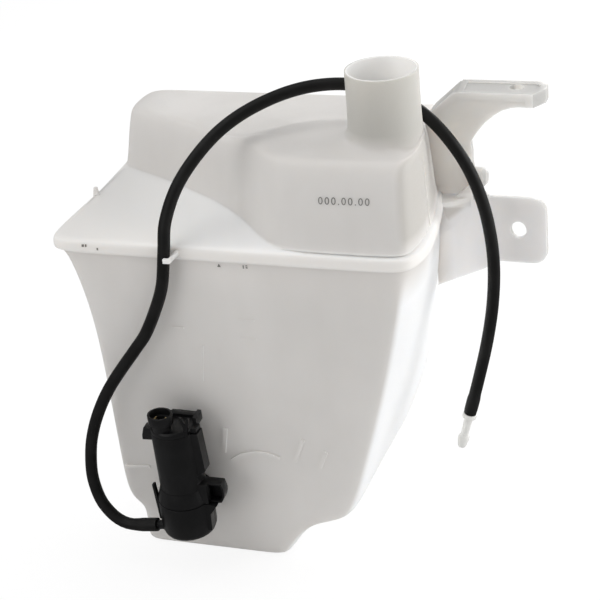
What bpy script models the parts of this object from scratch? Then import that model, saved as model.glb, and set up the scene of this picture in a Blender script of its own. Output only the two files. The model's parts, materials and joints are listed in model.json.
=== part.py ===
"""Washer fluid reservoir: a moulded tank with a filler neck and two mounting ears, its plug-in pump and the hose.

Metres, +Z up, +X to the right and +Y to the back. Layout coordinates have Y = 0 near the tank's front parting line
and Z = 0 under the foot. The empty "reservoir" shifts the layout, so that the world's origin is the foot's middle.
"""

import math

import bmesh
import bpy
from mathutils import Matrix, Vector

# Tank
WALL = 0.0025
CAVITY_SHARE = 0.6
FOOT_MIDDLE = (0.010, 0.056)
FOOT_FRONT_Y = 0.0135
FRONT_DRAFT = math.radians(4.03)
SUMP_HEIGHT = 0.026
RIM_Z = 0.222
LIP_Z = RIM_Z - 0.0085
SHOULDER_Z = LIP_Z - 0.0070
BLOCK_RISE = 0.0425
BLOCK_Z = RIM_Z + BLOCK_RISE
NECK_BLOCK_RISE = 0.0515
NECK_BLOCK_Z = RIM_Z + NECK_BLOCK_RISE
NECK_X, NECK_Y = 0.128, 0.049
NECK_RADIUS = 0.021
NECK_WALL = 0.0014
NECK_HEIGHT = 0.0425
NECK_TOP_Z = NECK_BLOCK_Z + NECK_HEIGHT
ARC_PULL = 0.2

# Ears, fin and hose clip on the tank
EAR_Y = 0.095
EAR_THICKNESS = 0.004
PAD_DEPTH = 0.022
PAD_THICKNESS = 0.0045
PAD_RISE = 0.0642
PAD_TOP = RIM_Z + PAD_RISE
PAD_HOLE = (0.1915, 0.107)
PAD_HOLE_RADIUS = 0.0045
TAB_HOLE = (0.1925, RIM_Z - 0.0230)
TAB_HOLE_SIZE = (0.0047, 0.0055)
KNOB = (0.172, RIM_Z + 0.0105)
KNOB_RADIUS = 0.0054
CLIP_X = 0.0075
CLIP_HEIGHT = 0.0032

# Pump, along its own axis from the bottom of its base cover
CLEARANCE = 0.0003
PUMP_AT = (0.0010, -0.0085, 0.0304)
BASE_RADIUS = 0.0171
BASE_TOP = 0.0245
PLATE_RADIUS = 0.0125
PLATE_THICKNESS = 0.0020
VOLUTE_RADIUS = 0.0115
VOLUTE_TOP = 0.0080
EYE_RADIUS = 0.0035
PARTITION = 0.0025
INLET_CHAMBER_RADIUS = 0.0110
INLET_Z = 0.0165
INLET_RADIUS = 0.0055
INLET_BORE = 0.0030
INLET_END = 0.034
OUTLET_Y = -0.0060
OUTLET_Z = 0.0062
OUTLET_DROP = math.radians(8)
OUTLET_RADIUS = 0.0030
OUTLET_BORE = 0.0016
OUTLET_END = 0.0195
HOUSING_RADIUS = 0.0143
HOUSING_WALL = 0.0015
HOUSING_FLOOR = 0.0022
CAN_LENGTH = 0.048
HOUSING_TOP = BASE_TOP + HOUSING_FLOOR + CAN_LENGTH + 0.0013
CAP_THICKNESS = 0.0035
HOLE_RADIUS = 0.010
GROMMET_FLANGE = 0.0125
SEAL_RADIUS = 0.0040
SOCKET_AT = (-0.0038, 0.0063 - HOUSING_RADIUS)
SOCKET_TOP = HOUSING_TOP + 0.0145
SOCKET_HALF = (0.0078, 0.0070)
SOCKET_WALL = 0.0012
BLADE = (0.0008, 0.0028, 0.0085)
BLADE_SEAT = 0.0020
BLADE_SPREAD = 0.0032

# Motor inside the housing
SHAFT_RADIUS = 0.0010
SHAFT_PLAY = 0.00008
SHAFT_FROM = 0.0035
SHAFT_TO = HOUSING_TOP - 0.0070
CAN_WALL = 0.0008
MAGNET_THICKNESS = 0.0024
AIR_GAP = 0.0006
CORE_RADIUS = HOUSING_RADIUS - HOUSING_WALL - CAN_WALL - 2 * CLEARANCE - MAGNET_THICKNESS - AIR_GAP
CORE_LENGTH = CAN_LENGTH - 0.0310
MAGNET_LENGTH = CORE_LENGTH + 0.0070
WINDING_RADIUS = CORE_RADIUS - 0.0014
WINDING_HEIGHT = 0.0034
COMMUTATOR_RADIUS = 0.0040
COMMUTATOR_LENGTH = 0.0075
BUSHING_RADIUS = 0.0030
BUSHING_LENGTH = 0.0035
CORE_FROM = BASE_TOP + HOUSING_FLOOR + 2 * CLEARANCE + BUSHING_LENGTH + WINDING_HEIGHT + 0.0008
IMPELLER_RADIUS = 0.0092
IMPELLER_HEIGHT = 0.0045

# Hose: the route of its centreline, by hand, from the pump's outlet round the tank to the fitting
HOSE_RADIUS = 0.00375
HOSE_STEP = 0.0098
HOSE_ROUTE = [
    (-0.0184, -0.0148, 0.0335),
    (-0.0269, -0.0148, 0.0323),
    (-0.0330, -0.0147, 0.0315),
    (-0.0388, -0.0145, 0.0314),
    (-0.0450, -0.0142, 0.0334),
    (-0.0511, -0.0138, 0.0384),
    (-0.0570, -0.0130, 0.0475),
    (-0.0604, -0.0118, 0.0630),
    (-0.0591, -0.0108, 0.0812),
    (-0.0556, -0.0100, 0.0956),
    (-0.0496, -0.0095, 0.1103),
    (-0.0416, -0.0090, 0.1250),
    (-0.0311, -0.0090, 0.1400),
    (-0.0198, -0.0090, 0.1548),
    (-0.0097, -0.0090, 0.1692),
    (0.0026, -0.0090, 0.1967),
    (0.0075, -0.0090, 0.2220),
    (0.0090, -0.0045, 0.2395),
    (0.0146, 0.0080, 0.2580),
    (0.0268, 0.0240, 0.2753),
    (0.0410, 0.0390, 0.2866),
    (0.0588, 0.0560, 0.2933),
    (0.0781, 0.0680, 0.2965),
    (0.0995, 0.0760, 0.2956),
    (0.1202, 0.0780, 0.2902),
    (0.1349, 0.0750, 0.2856),
    (0.1513, 0.0692, 0.2761),
    (0.1656, 0.0672, 0.2588),
    (0.1743, 0.0682, 0.2396),
    (0.1801, 0.0690, 0.2169),
    (0.1825, 0.0700, 0.1906),
    (0.1812, 0.0700, 0.1639),
    (0.1770, 0.0690, 0.1369),
    (0.1705, 0.0680, 0.1090),
    (0.1644, 0.0670, 0.0855),
]
FITTING_LENGTH = 0.025


def clear_scene():
    for obj in list(bpy.data.objects):
        bpy.data.objects.remove(obj, do_unlink=True)


def plastic(name, colour, roughness, metallic=0.0):
    """A plain Principled material."""
    material = bpy.data.materials.new(name)
    material.use_nodes = True
    shader = material.node_tree.nodes["Principled BSDF"]
    shader.inputs["Base Color"].default_value = (*colour, 1.0)
    shader.inputs["Roughness"].default_value = roughness
    shader.inputs["Metallic"].default_value = metallic
    return material


def make_materials():
    return {
        "hdpe": plastic("hdpe_natural", (0.80, 0.80, 0.77), 0.45),
        "black": plastic("plastic_black", (0.018, 0.018, 0.019), 0.42),
        "rubber": plastic("rubber_black", (0.012, 0.012, 0.012), 0.6),
        "white": plastic("plastic_white", (0.82, 0.82, 0.80), 0.4),
        "steel": plastic("steel_plated", (0.55, 0.55, 0.54), 0.35, 1.0),
        "brass": plastic("brass", (0.72, 0.55, 0.28), 0.35, 1.0),
        "copper": plastic("copper_enamelled", (0.60, 0.24, 0.10), 0.4, 1.0),
        "carbon": plastic("carbon", (0.03, 0.03, 0.03), 0.7),
        "ferrite": plastic("ferrite", (0.06, 0.06, 0.065), 0.6),
        "bronze": plastic("bronze_sintered", (0.50, 0.33, 0.18), 0.5, 1.0),
    }


def add_object(name, bm, parent=None, material=None):
    """Finishes a bmesh as a named object under its parent."""
    bmesh.ops.remove_doubles(bm, verts=bm.verts, dist=1e-6)
    bmesh.ops.recalc_face_normals(bm, faces=bm.faces)
    mesh = bpy.data.meshes.new(name)
    bm.to_mesh(mesh)
    bm.free()
    obj = bpy.data.objects.new(name, mesh)
    bpy.context.scene.collection.objects.link(obj)
    obj.parent = parent
    if material:
        mesh.materials.append(material)
    return obj


def add_empty(name, parent=None, location=(0.0, 0.0, 0.0), rotation=(0.0, 0.0, 0.0)):
    empty = bpy.data.objects.new(name, None)
    bpy.context.scene.collection.objects.link(empty)
    empty.parent = parent
    empty.location = location
    empty.rotation_euler = rotation
    return empty


def boolean(target, other, operation):
    """Joins or cuts with a helper object that no render shows."""
    modifier = target.modifiers.new(other.name, "BOOLEAN")
    modifier.object = other
    modifier.operation = operation
    other.hide_render = True
    other.display_type = "WIRE"


def turned(profile, steps=24, arc=2 * math.pi, axis="Z"):
    """A bmesh turned from a closed (radius, height) profile about Z, or laid along another axis."""
    bm = bmesh.new()
    verts = [bm.verts.new((r, 0.0, z)) for r, z in profile]
    edges = [bm.edges.new((a, b)) for a, b in zip(verts, verts[1:] + verts[:1])]
    bmesh.ops.spin(bm, geom=verts + edges, cent=(0, 0, 0), axis=(0, 0, 1), angle=arc, steps=steps)
    bmesh.ops.remove_doubles(bm, verts=bm.verts, dist=1e-6)
    bmesh.ops.dissolve_degenerate(bm, edges=bm.edges, dist=1e-7)
    lone = [e for e in bm.edges if not e.link_faces]
    bmesh.ops.delete(bm, geom=lone, context="EDGES")
    if axis == "X":
        bm.transform(Matrix.Rotation(math.radians(90), 4, "Y"))
    if axis == "Y":
        bm.transform(Matrix.Rotation(math.radians(-90), 4, "X"))
    return bm


def disc(radius, bottom, top, bore=0.0, steps=24, axis="Z"):
    """A round solid between two heights, with a bore if one is given."""
    return turned([(bore, bottom), (radius, bottom), (radius, top), (bore, top)], steps, axis=axis)


def slab(outline, bottom, top, plane="XY"):
    """A bmesh prism: the outline lies in XY or XZ and is extruded along the third axis."""
    bm = bmesh.new()
    if plane == "XY":
        verts = [bm.verts.new((a, b, bottom)) for a, b in outline]
        travel = Vector((0, 0, top - bottom))
    else:
        verts = [bm.verts.new((a, bottom, b)) for a, b in outline]
        travel = Vector((0, top - bottom, 0))
    face = bm.faces.new(verts)
    grown = bmesh.ops.extrude_face_region(bm, geom=[face])
    moved = [v for v in grown["geom"] if isinstance(v, bmesh.types.BMVert)]
    bmesh.ops.translate(bm, verts=moved, vec=travel)
    return bm


def box(x, y, z):
    """A bmesh box from three (low, high) pairs."""
    return slab([(x[0], y[0]), (x[1], y[0]), (x[1], y[1]), (x[0], y[1])], z[0], z[1])


def arc_points(centre, radius, start, end, steps):
    """Points along an arc, angles in degrees."""
    angles = [math.radians(start + (end - start) * i / steps) for i in range(steps + 1)]
    return [(centre[0] + radius * math.cos(a), centre[1] + radius * math.sin(a)) for a in angles]


def ellipse(centre, half, steps=20):
    turn = [2 * math.pi * i / steps for i in range(steps)]
    return [(centre[0] + half[0] * math.cos(a), centre[1] + half[1] * math.sin(a)) for a in turn]


def front_y(z):
    """The front face of the lower shell, leaning forward by its draft."""
    return FOOT_FRONT_Y - z * math.tan(FRONT_DRAFT)


FRONT_STATIONS = (0.10, 0.25, 0.37, 0.50, 0.59, 0.66, 0.84)
RIGHT_STATIONS = (0.22, 0.55, 0.80)
BACK_STATIONS = (0.25, 0.50, 0.75)
LEFT_STATIONS = (0.35, 0.70)


def corner(before, at, after, radius):
    """Three control points round one corner of an outline."""
    back = (before - at).normalized() * radius
    ahead = (after - at).normalized() * radius
    return [at + back, at + (back + ahead) * ARC_PULL, at + ahead]


def ring(corners, radius, front=None, right=None):
    """One control outline of the tank, from its front left corner round to the right."""
    corners = [Vector(c) for c in corners]
    sides = [FRONT_STATIONS, RIGHT_STATIONS, BACK_STATIONS, LEFT_STATIONS]
    bends = [front, right, None, None]
    runs = []
    for i, at in enumerate(corners):
        nearest = Vector(bends[i][0]) if bends[i] else corners[(i + 1) % 4]
        before = bends[i - 1]
        runs.append(corner(Vector(before[-1]) if before else corners[i - 1], at, nearest, radius))
    points = []
    for i, side in enumerate(sides):
        points += runs[i]
        start, end = runs[i][2], runs[(i + 1) % 4][0]
        points += [Vector(p) for p in bends[i]] if bends[i] else [start.lerp(end, s) for s in side]
    return points


def flat_ring(z, left, right, back, radius, back_left=None, back_right=None):
    """A control outline of the lower shell at one height: its front lies on the drafted face."""
    y = front_y(z)
    far_left = left if back_left is None else back_left
    far_right = right if back_right is None else back_right
    return ring([(left, y, z), (right, y, z), (far_right, back, z), (far_left, back, z)], radius)


def shrunk(points, share):
    middle = sum(points, Vector()) / len(points)
    return [middle.lerp(p, share) for p in points]


def neck_ring(radius, z):
    """A control circle of the neck, opened out so that the smoothed surface has the stated radius."""
    count = 12 + len(FRONT_STATIONS) + len(RIGHT_STATIONS) + len(BACK_STATIONS) + len(LEFT_STATIONS)
    turn = 2 * math.pi / count
    radius *= 3.0 / (2.0 + math.cos(turn))
    first = math.radians(-205)
    return [
        Vector((NECK_X + radius * math.cos(first + i * turn), NECK_Y + radius * math.sin(first + i * turn), z))
        for i in range(count)
    ]


def block_front(z_low, z_high, draft):
    """The raised block's front: a diagonal wall to the neck block, then along the neck block's face."""
    x, y = draft * 0.25, draft * 0.6
    return [
        (-0.030 + x, 0.087 + y, z_low),
        (0.000 + x, 0.068 + y, z_low),
        (0.019 + x, 0.056 + y, z_low),
        (0.043 + x, 0.034 + y, z_high),
        (0.060 + x, 0.013 + y, z_high),
        (0.077 + x * 0.3, 0.0005 + draft, z_high),
        (0.110, draft, z_high),
    ]


def block_ring(z_low, z_high, draft, radius):
    """An outline of the raised block, drafted inward from its foot."""
    d = draft
    corners = [
        (-0.067 + d * 0.6, 0.104 + d * 0.8, z_low),
        (0.1515 - d * 0.3, 0.0005 + d, z_high),
        (0.1200 - d * 0.6, 0.1495 - d * 0.3, z_low),
        (-0.067 + d * 0.6, 0.1495 - d * 0.3, z_low),
    ]
    right = [
        (0.1542 - d * 0.2, 0.036, z_high),
        (0.1490 - d * 0.4, 0.080, z_high),
        (0.1340 - d * 0.6, 0.122 - d * 0.3, z_low),
    ]
    return ring(corners, radius, block_front(z_low, z_high, d), right)


def crease_ring(z_low, z_high, spread):
    """The step from the back block up to the neck block: an outline that runs behind the neck."""
    s = spread
    corners = [
        (0.044 - s * 0.8, 0.062 + s * 0.4, z_low),
        (0.1455, 0.0205, z_high),
        (0.124, 0.0930 + s, z_low),
        (0.066 - s * 0.6, 0.0780 + s, z_low),
    ]
    front = [
        (0.0425 - s * 0.8, 0.0580, z_low),
        (0.0425 - s * 0.8, 0.0555, z_low),
        (0.0435 - s * 0.6, 0.0530, (z_low + z_high) / 2),
        (0.0525, 0.0455, z_high),
        (0.0665, 0.0300, z_high),
        (0.0810, 0.0205, z_high),
        (0.1100, 0.0185, z_high),
    ]
    right = [
        (0.1512, 0.047, z_high),
        (0.1435, 0.078, z_high),
        (0.1380 + s * 0.2, 0.0920 + s * 0.5, (z_low + z_high) / 2),
    ]
    return ring(corners, 0.004, front, right)


def rim_ring(z, out):
    """The parting band's outline: straight in front, bent on the right, wider than the shell on the left."""
    o = out
    corners = [
        (-0.0700 - o, -0.0010 - o, z),
        (0.1515 + o, -0.0010 - o, z),
        (0.1250 + o, 0.1500 + o, z),
        (-0.0640 - o, 0.1500 + o, z),
    ]
    right = [(0.1560 + o, 0.028, z), (0.1485 + o, 0.084, z), (0.1370 + o, 0.126, z)]
    return ring(corners, 0.014, None, right)


def lower_rings():
    """The lower shell: a sump on a flat foot, its underside and the drafted body up to the parting band."""
    foot = flat_ring(0.0, -0.0420, 0.0545, 0.0980, 0.008)
    high = [(-0.0530, front_y(0.040), 0.040), (0.1040, front_y(0.042), 0.042)]
    high += [(0.1075, 0.1060, 0.050), (-0.0530, 0.1080, 0.044)]
    under = [(-0.0500, front_y(0.030), 0.030), (0.0980, front_y(0.032), 0.032)]
    under += [(0.0985, 0.1020, 0.040), (-0.0500, 0.1040, 0.034)]
    shoulder = [(0.1535, 0.028, SHOULDER_Z), (0.1485, 0.083, SHOULDER_Z), (0.1365, 0.124, SHOULDER_Z)]
    upper = [(-0.0605, front_y(SHOULDER_Z), SHOULDER_Z), (0.1490, front_y(SHOULDER_Z), SHOULDER_Z)]
    upper += [(0.1230, 0.1465, SHOULDER_Z), (-0.0610, 0.1450, SHOULDER_Z)]
    waist = [(0.1460, 0.030, 0.167), (0.1460, 0.080, 0.167), (0.1385, 0.115, 0.167)]
    middle = [(-0.0530, front_y(0.167), 0.167), (0.1405, front_y(0.167), 0.167)]
    middle += [(0.1240, 0.1380, 0.167), (-0.0560, 0.1360, 0.167)]
    return [
        (shrunk(foot, 0.86), -1),
        (foot, -1),
        (flat_ring(0.0045, -0.0435, 0.0585, 0.0990, 0.009), 0),
        (flat_ring(SUMP_HEIGHT, -0.0415, 0.0720, 0.1000, 0.009), -1),
        (ring(under, 0.010), -1),
        (ring(high, 0.010), 0),
        (flat_ring(0.060, -0.0530, 0.1106, 0.1100, 0.009, -0.0530, 0.1165), 0),
        (flat_ring(0.118, -0.0526, 0.1285, 0.1260, 0.009, -0.0545, 0.1350), 0),
        (ring(middle, 0.009, None, waist), 0),
        (ring(upper, 0.009, None, shoulder), 0),
    ]


def upper_rings():
    """The upper shell, from the shelf inside the band to the neck's foot."""
    step = NECK_BLOCK_Z - BLOCK_Z
    return [
        (block_ring(RIM_Z + 0.0012, RIM_Z + 0.0012, -0.001, 0.010), 1),
        (block_ring(RIM_Z + 0.006, RIM_Z + 0.006, 0.001, 0.010), 0),
        (block_ring(BLOCK_Z - 0.006, NECK_BLOCK_Z - 0.008, 0.007, 0.011), 0),
        (block_ring(BLOCK_Z, NECK_BLOCK_Z, 0.013, 0.009), 1),
        (crease_ring(BLOCK_Z, NECK_BLOCK_Z, 0.004), 1),
        (crease_ring(BLOCK_Z + step, NECK_BLOCK_Z, -0.002), 1),
        (neck_ring(NECK_RADIUS + 0.0015, NECK_BLOCK_Z + 0.001), 1),
        (neck_ring(NECK_RADIUS, NECK_BLOCK_Z + 0.008), 0),
    ]


def band_rings():
    return [
        (rim_ring(LIP_Z, -0.0005), -1),
        (rim_ring(LIP_Z + 0.0025, 0.0030), 0),
        (rim_ring(RIM_Z - 0.0012, 0.0022), 0),
        (rim_ring(RIM_Z + 0.0005, -0.0025), 1),
    ]


def inset(points, wall, lift):
    """Moves a control outline inward by the wall, and up or down with it."""
    moved = []
    count = len(points)
    for i, p in enumerate(points):
        along = points[(i + 1) % count] - points[i - 1]
        inward = Vector((-along.y, along.x, 0.0)).normalized()
        moved.append(p + inward * wall + Vector((0, 0, lift)))
    return moved


def loft(name, rings, parent, crease_end=False):
    """Skins a stack of control outlines, closes both ends and smooths the cage."""
    bm = bmesh.new()
    rows = [[bm.verts.new(p) for p in points] for points in rings]
    for low, high in zip(rows, rows[1:]):
        for i in range(len(low)):
            j = (i + 1) % len(low)
            bm.faces.new((low[i], low[j], high[j], high[i]))
    bm.faces.new(rows[0])
    bm.faces.new(rows[-1])
    if crease_end:
        crease = bm.edges.layers.float.new("crease_edge")
        for a, b in zip(rows[-1], rows[-1][1:] + rows[-1][:1]):
            bm.edges.get((a, b))[crease] = 1.0
    obj = add_object(name, bm, parent)
    smooth = obj.modifiers.new("smooth", "SUBSURF")
    smooth.levels = smooth.render_levels = 1
    return obj


def make_tank(root, materials):
    """The tank: an outer skin less its cavity, joined to the ears, and cut for the grommet and the bolts."""
    neck = [neck_ring(NECK_RADIUS, NECK_TOP_Z - 0.003), neck_ring(NECK_RADIUS, NECK_TOP_Z)]
    outer = [p for p, _ in lower_rings() + band_rings() + upper_rings()] + neck
    shelf = (rim_ring(RIM_Z + 0.0005, -0.0060), 1)
    core = lower_rings() + [shelf] + upper_rings()
    inner = [inset(p, WALL, -facing * WALL) for p, facing in core]
    inner += [neck_ring(NECK_RADIUS - NECK_WALL, NECK_TOP_Z + rise) for rise in (-0.020, 0.002, 0.010)]
    tank = loft("tank", outer, root, crease_end=True)
    tank.data.materials.append(materials["hdpe"])
    cavity = loft("tank_cavity", inner, root)
    coarser = cavity.modifiers.new("coarser", "DECIMATE")
    coarser.ratio = CAVITY_SHARE
    boolean(tank, cavity, "DIFFERENCE")
    for helper in (make_ear_panel(root), make_ear_pad(root), make_ear_shelf(root), make_knob(root)):
        boolean(tank, helper, "UNION")
    for helper in (make_ear_ramp(root), make_fin(root), make_clip(root)):
        boolean(tank, helper, "UNION")
    cutters = [
        slab(ellipse(PAD_HOLE, (PAD_HOLE_RADIUS, PAD_HOLE_RADIUS)), PAD_TOP - 0.016, PAD_TOP + 0.014),
        slab(ellipse(TAB_HOLE, TAB_HOLE_SIZE), EAR_Y - 0.010, EAR_Y + 0.020, "XZ"),
        slab(pad_recess(), PAD_TOP - 0.0015, PAD_TOP + 0.010),
    ]
    for i, bm in enumerate(cutters):
        boolean(tank, add_object(f"ear_cutter_{i}", bm, root), "DIFFERENCE")
    return tank


def panel_outline():
    """The upright panel of both ears, in X and Z: up beside the tank, out along the pad, round the lower tab."""
    pad, rim = PAD_TOP, RIM_Z
    sweep = arc_points((0.1890, pad - 0.0302), 0.0245, 96, 176, 6)
    tab_top = arc_points((0.2010, rim - 0.0105), 0.0085, 90, 0, 4)
    tab_bottom = arc_points((0.2010, rim - 0.0360), 0.0085, 0, -90, 4)
    return (
        [(0.1393, pad - 0.0262), (0.1345, pad - 0.0160), (0.1580, pad - 0.0020), (0.2080, pad - 0.0010)]
        + [(0.2095, pad - 0.0037), (0.2040, pad - 0.0067)]
        + sweep
        + [(0.1650, rim + 0.0240), (0.1668, rim + 0.0130), (0.1705, rim + 0.0015), (0.1750, rim - 0.0020)]
        + tab_top
        + tab_bottom
        + [(0.1800, rim - 0.0450), (0.1700, rim - 0.0510), (0.1400, rim - 0.0640), (0.1405, rim - 0.0320)]
        + [(0.1440, rim - 0.0120), (0.1405, rim + 0.0030)]
    )


def make_ear_panel(root):
    return add_object("ear_panel", slab(panel_outline(), EAR_Y, EAR_Y + EAR_THICKNESS, "XZ"), root)


def make_ear_pad(root):
    """The flat pad with its turned-down edge, on top of the panel."""
    right = [(0.2035, EAR_Y - 0.0020), (0.2095, EAR_Y + 0.0150), (0.2035, EAR_Y + PAD_DEPTH)]
    left = [(0.1520, EAR_Y + PAD_DEPTH), (0.1560, EAR_Y - 0.0020)]
    return add_object("ear_pad", slab(right + left, PAD_TOP - PAD_THICKNESS, PAD_TOP), root)


def make_ear_ramp(root):
    """The flange that runs from the pad's left end down to the tank."""
    outline = [(0.1325, PAD_TOP - 0.0185), (0.1315, PAD_TOP - 0.0155), (0.1565, PAD_TOP - 0.0005), (0.1600, PAD_TOP - 0.0035)]
    return add_object("ear_ramp", slab(outline, EAR_Y - 0.0010, EAR_Y + PAD_DEPTH - 0.0010, "XZ"), root)


def pad_recess():
    """The long shallow pocket in the pad."""
    margin = 0.0035
    y_near, y_far = EAR_Y + margin, EAR_Y + PAD_DEPTH - margin
    return [(0.1610, y_near), (0.2010, y_near), (0.2045, EAR_Y + 0.0130), (0.2000, y_far), (0.1590, y_far)]


def make_ear_shelf(root):
    """The small shelf from the band to the lower tab, and the gusset under it."""
    shelf = [(0.1472, 0.0800), (0.1560, 0.0830), (0.1680, EAR_Y + 0.001), (0.1450, EAR_Y + 0.001)]
    return add_object("ear_shelf", slab(shelf, RIM_Z - 0.0042, RIM_Z - 0.0015), root)


def make_knob(root):
    """A short round stub on the panel's edge."""
    x, z = KNOB
    profile = [(0.0, 0.0), (KNOB_RADIUS, 0.0), (KNOB_RADIUS, 0.0075), (0.0030, 0.0095), (0.0, 0.0095)]
    knob = add_object("ear_knob", turned(profile, 12, axis="X"), root)
    knob.location = (x - 0.0075, EAR_Y + EAR_THICKNESS / 2, z)
    return knob


def make_fin(root):
    """A small blade on the left edge of the band."""
    outline = [(-0.0700, RIM_Z - 0.003), (-0.0600, RIM_Z - 0.003), (-0.0622, RIM_Z + 0.007), (-0.0670, RIM_Z + 0.007)]
    return add_object("band_fin", slab(outline, 0.0600, 0.0618, "XZ"), root)


def make_clip(root):
    """The finger on the band that the hose is pressed behind."""
    reach = front_y(RIM_Z) - 0.0139
    outline = [
        (CLIP_X + 0.0050, -0.0020),
        (CLIP_X + 0.0050, reach + 0.0025),
        (CLIP_X - 0.0040, reach + 0.0025),
        (CLIP_X - 0.0040, reach),
        (CLIP_X + 0.0080, reach),
        (CLIP_X + 0.0100, -0.0020),
    ]
    return add_object("hose_clip", slab(outline, RIM_Z - 0.0050, RIM_Z - 0.0050 + CLIP_HEIGHT), root)


def wall_y():
    """How far the tank's front face lies behind the pump's axis, square to both."""
    x, y, z = PUMP_AT
    return (front_y(z) - y) * math.cos(FRONT_DRAFT)


def make_base_cover(pump, materials):
    """The round cover under the motor: inlet chamber above, volute below, and their two pipes."""
    r = BASE_RADIUS
    profile = [(0.0, 0.0), (r - 0.0035, 0.0), (r - 0.0010, 0.0012), (r, 0.0040), (r, BASE_TOP), (0.0, BASE_TOP)]
    cover = add_object("pump_base_cover", turned(profile, 28), pump, materials["black"])
    inlet = disc(INLET_RADIUS, INLET_CHAMBER_RADIUS + 0.002, INLET_END, axis="Y", steps=16)
    inlet.transform(Matrix.Translation((0, 0, INLET_Z)))
    nozzle = disc(OUTLET_RADIUS, VOLUTE_RADIUS, OUTLET_END, axis="X", steps=16)
    aim = Matrix.Translation((0, OUTLET_Y, OUTLET_Z)) @ Matrix.Rotation(math.pi - OUTLET_DROP, 4, "Y")
    nozzle.transform(aim)
    foot, tip = BASE_TOP - 0.016, BASE_TOP + 0.010
    blade = slab([(-0.0172, foot), (-0.0150, foot), (-0.0172, tip), (-0.0186, tip)], -0.0060, -0.0030, "XZ")
    side = [(0.0120, 0.0050), (0.0180, 0.0050), (0.0186, 0.0175), (0.0235, BASE_TOP), (0.0120, BASE_TOP)]
    panel = slab(side, -0.0075, -0.0020, "XZ")
    for name, bm in (("inlet_pipe", inlet), ("outlet_pipe", nozzle), ("guide_blade", blade), ("side_panel", panel)):
        boolean(cover, add_object(name, bm, pump), "UNION")
    passage = disc(INLET_BORE, 0.004, INLET_END + 0.002, axis="Y", steps=12)
    passage.transform(Matrix.Translation((0, 0, INLET_Z)))
    outflow = disc(OUTLET_BORE, 0.004, OUTLET_END + 0.002, axis="X", steps=10)
    outflow.transform(aim)
    cuts = [
        ("plate_seat", disc(PLATE_RADIUS + CLEARANCE, -0.001, PLATE_THICKNESS + CLEARANCE)),
        ("volute", disc(VOLUTE_RADIUS, PLATE_THICKNESS, VOLUTE_TOP)),
        ("inlet_eye", disc(EYE_RADIUS, VOLUTE_TOP - 0.001, VOLUTE_TOP + PARTITION + 0.001, steps=16)),
        ("inlet_chamber", disc(INLET_CHAMBER_RADIUS, VOLUTE_TOP + PARTITION, BASE_TOP + 0.002)),
        ("inlet_passage", passage),
        ("outlet_passage", outflow),
    ]
    for name, bm in cuts:
        boolean(cover, add_object(name, bm, pump), "DIFFERENCE")
    plate = disc(PLATE_RADIUS, 0.0, PLATE_THICKNESS)
    add_object("pump_bottom_plate", plate, pump, materials["black"])


def make_housing(pump, materials):
    """The tall round motor housing, with the sleeve, the wing and the hooked lug on its sides."""
    r, base, top = HOUSING_RADIUS, BASE_TOP + CLEARANCE, HOUSING_TOP
    housing = add_object("pump_housing", disc(r, base, top, steps=28), pump, materials["black"])
    root = r - 0.0043
    sleeve = [(root, top - 0.0335), (r + 0.0047, top - 0.0270), (r + 0.0033, top), (root, top)]
    wing = [(0.0013 - r, top - 0.0088), (-0.0063 - r, top - 0.0092), (-0.0061 - r, top - 0.0060)]
    wing += [(-0.0045 - r, top - 0.0004), (0.0013 - r, top - 0.0004)]
    boolean(housing, add_object("housing_sleeve", slab(sleeve, -0.0060, 0.0020, "XZ"), pump), "UNION")
    boolean(housing, add_object("housing_wing", slab(wing, -0.0035, 0.0025, "XZ"), pump), "UNION")
    boolean(housing, make_hook(pump), "UNION")
    bore = disc(r - HOUSING_WALL, base + HOUSING_FLOOR, top + 0.002, steps=28)
    boolean(housing, add_object("housing_bore", bore, pump), "DIFFERENCE")
    seal_hole = disc(SEAL_RADIUS + CLEARANCE, base - 0.002, base + HOUSING_FLOOR + 0.002)
    boolean(housing, add_object("seal_hole", seal_hole, pump), "DIFFERENCE")
    return housing


def make_hook(pump):
    """The lug on the right: a thin plate with a flat top, a curved lip and a side panel to the base cover."""
    r, low = HOUSING_RADIUS, BASE_TOP + CLEARANCE
    top, root, far = low + 0.0142, r - 0.0038, r + 0.0129
    middle, radius, lip = (r + 0.0005, low + 0.0082), 0.0135, 0.0012
    outer = [(root, low), (root, top), (far, top)] + arc_points(middle, radius, 8, -36, 5) + [(r + 0.0095, low)]
    hook = add_object("housing_hook", slab(outer, -0.0045, 0.0025, "XZ"), pump)
    panel = add_object("hook_panel", box((r - 0.0033, r + 0.0039), (-0.0070, -0.0015), (low, top)), pump)
    near = r + 0.0045
    inner = [(near, low + lip), (near, top - lip), (far - 0.0010, top - lip)]
    inner += arc_points(middle, radius - lip, 6, -30, 4) + [(r + 0.0089, low + lip)]
    boolean(hook, panel, "UNION")
    boolean(hook, add_object("hook_pocket", slab(inner, -0.0100, 0.0010, "XZ"), pump), "DIFFERENCE")
    return hook


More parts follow.
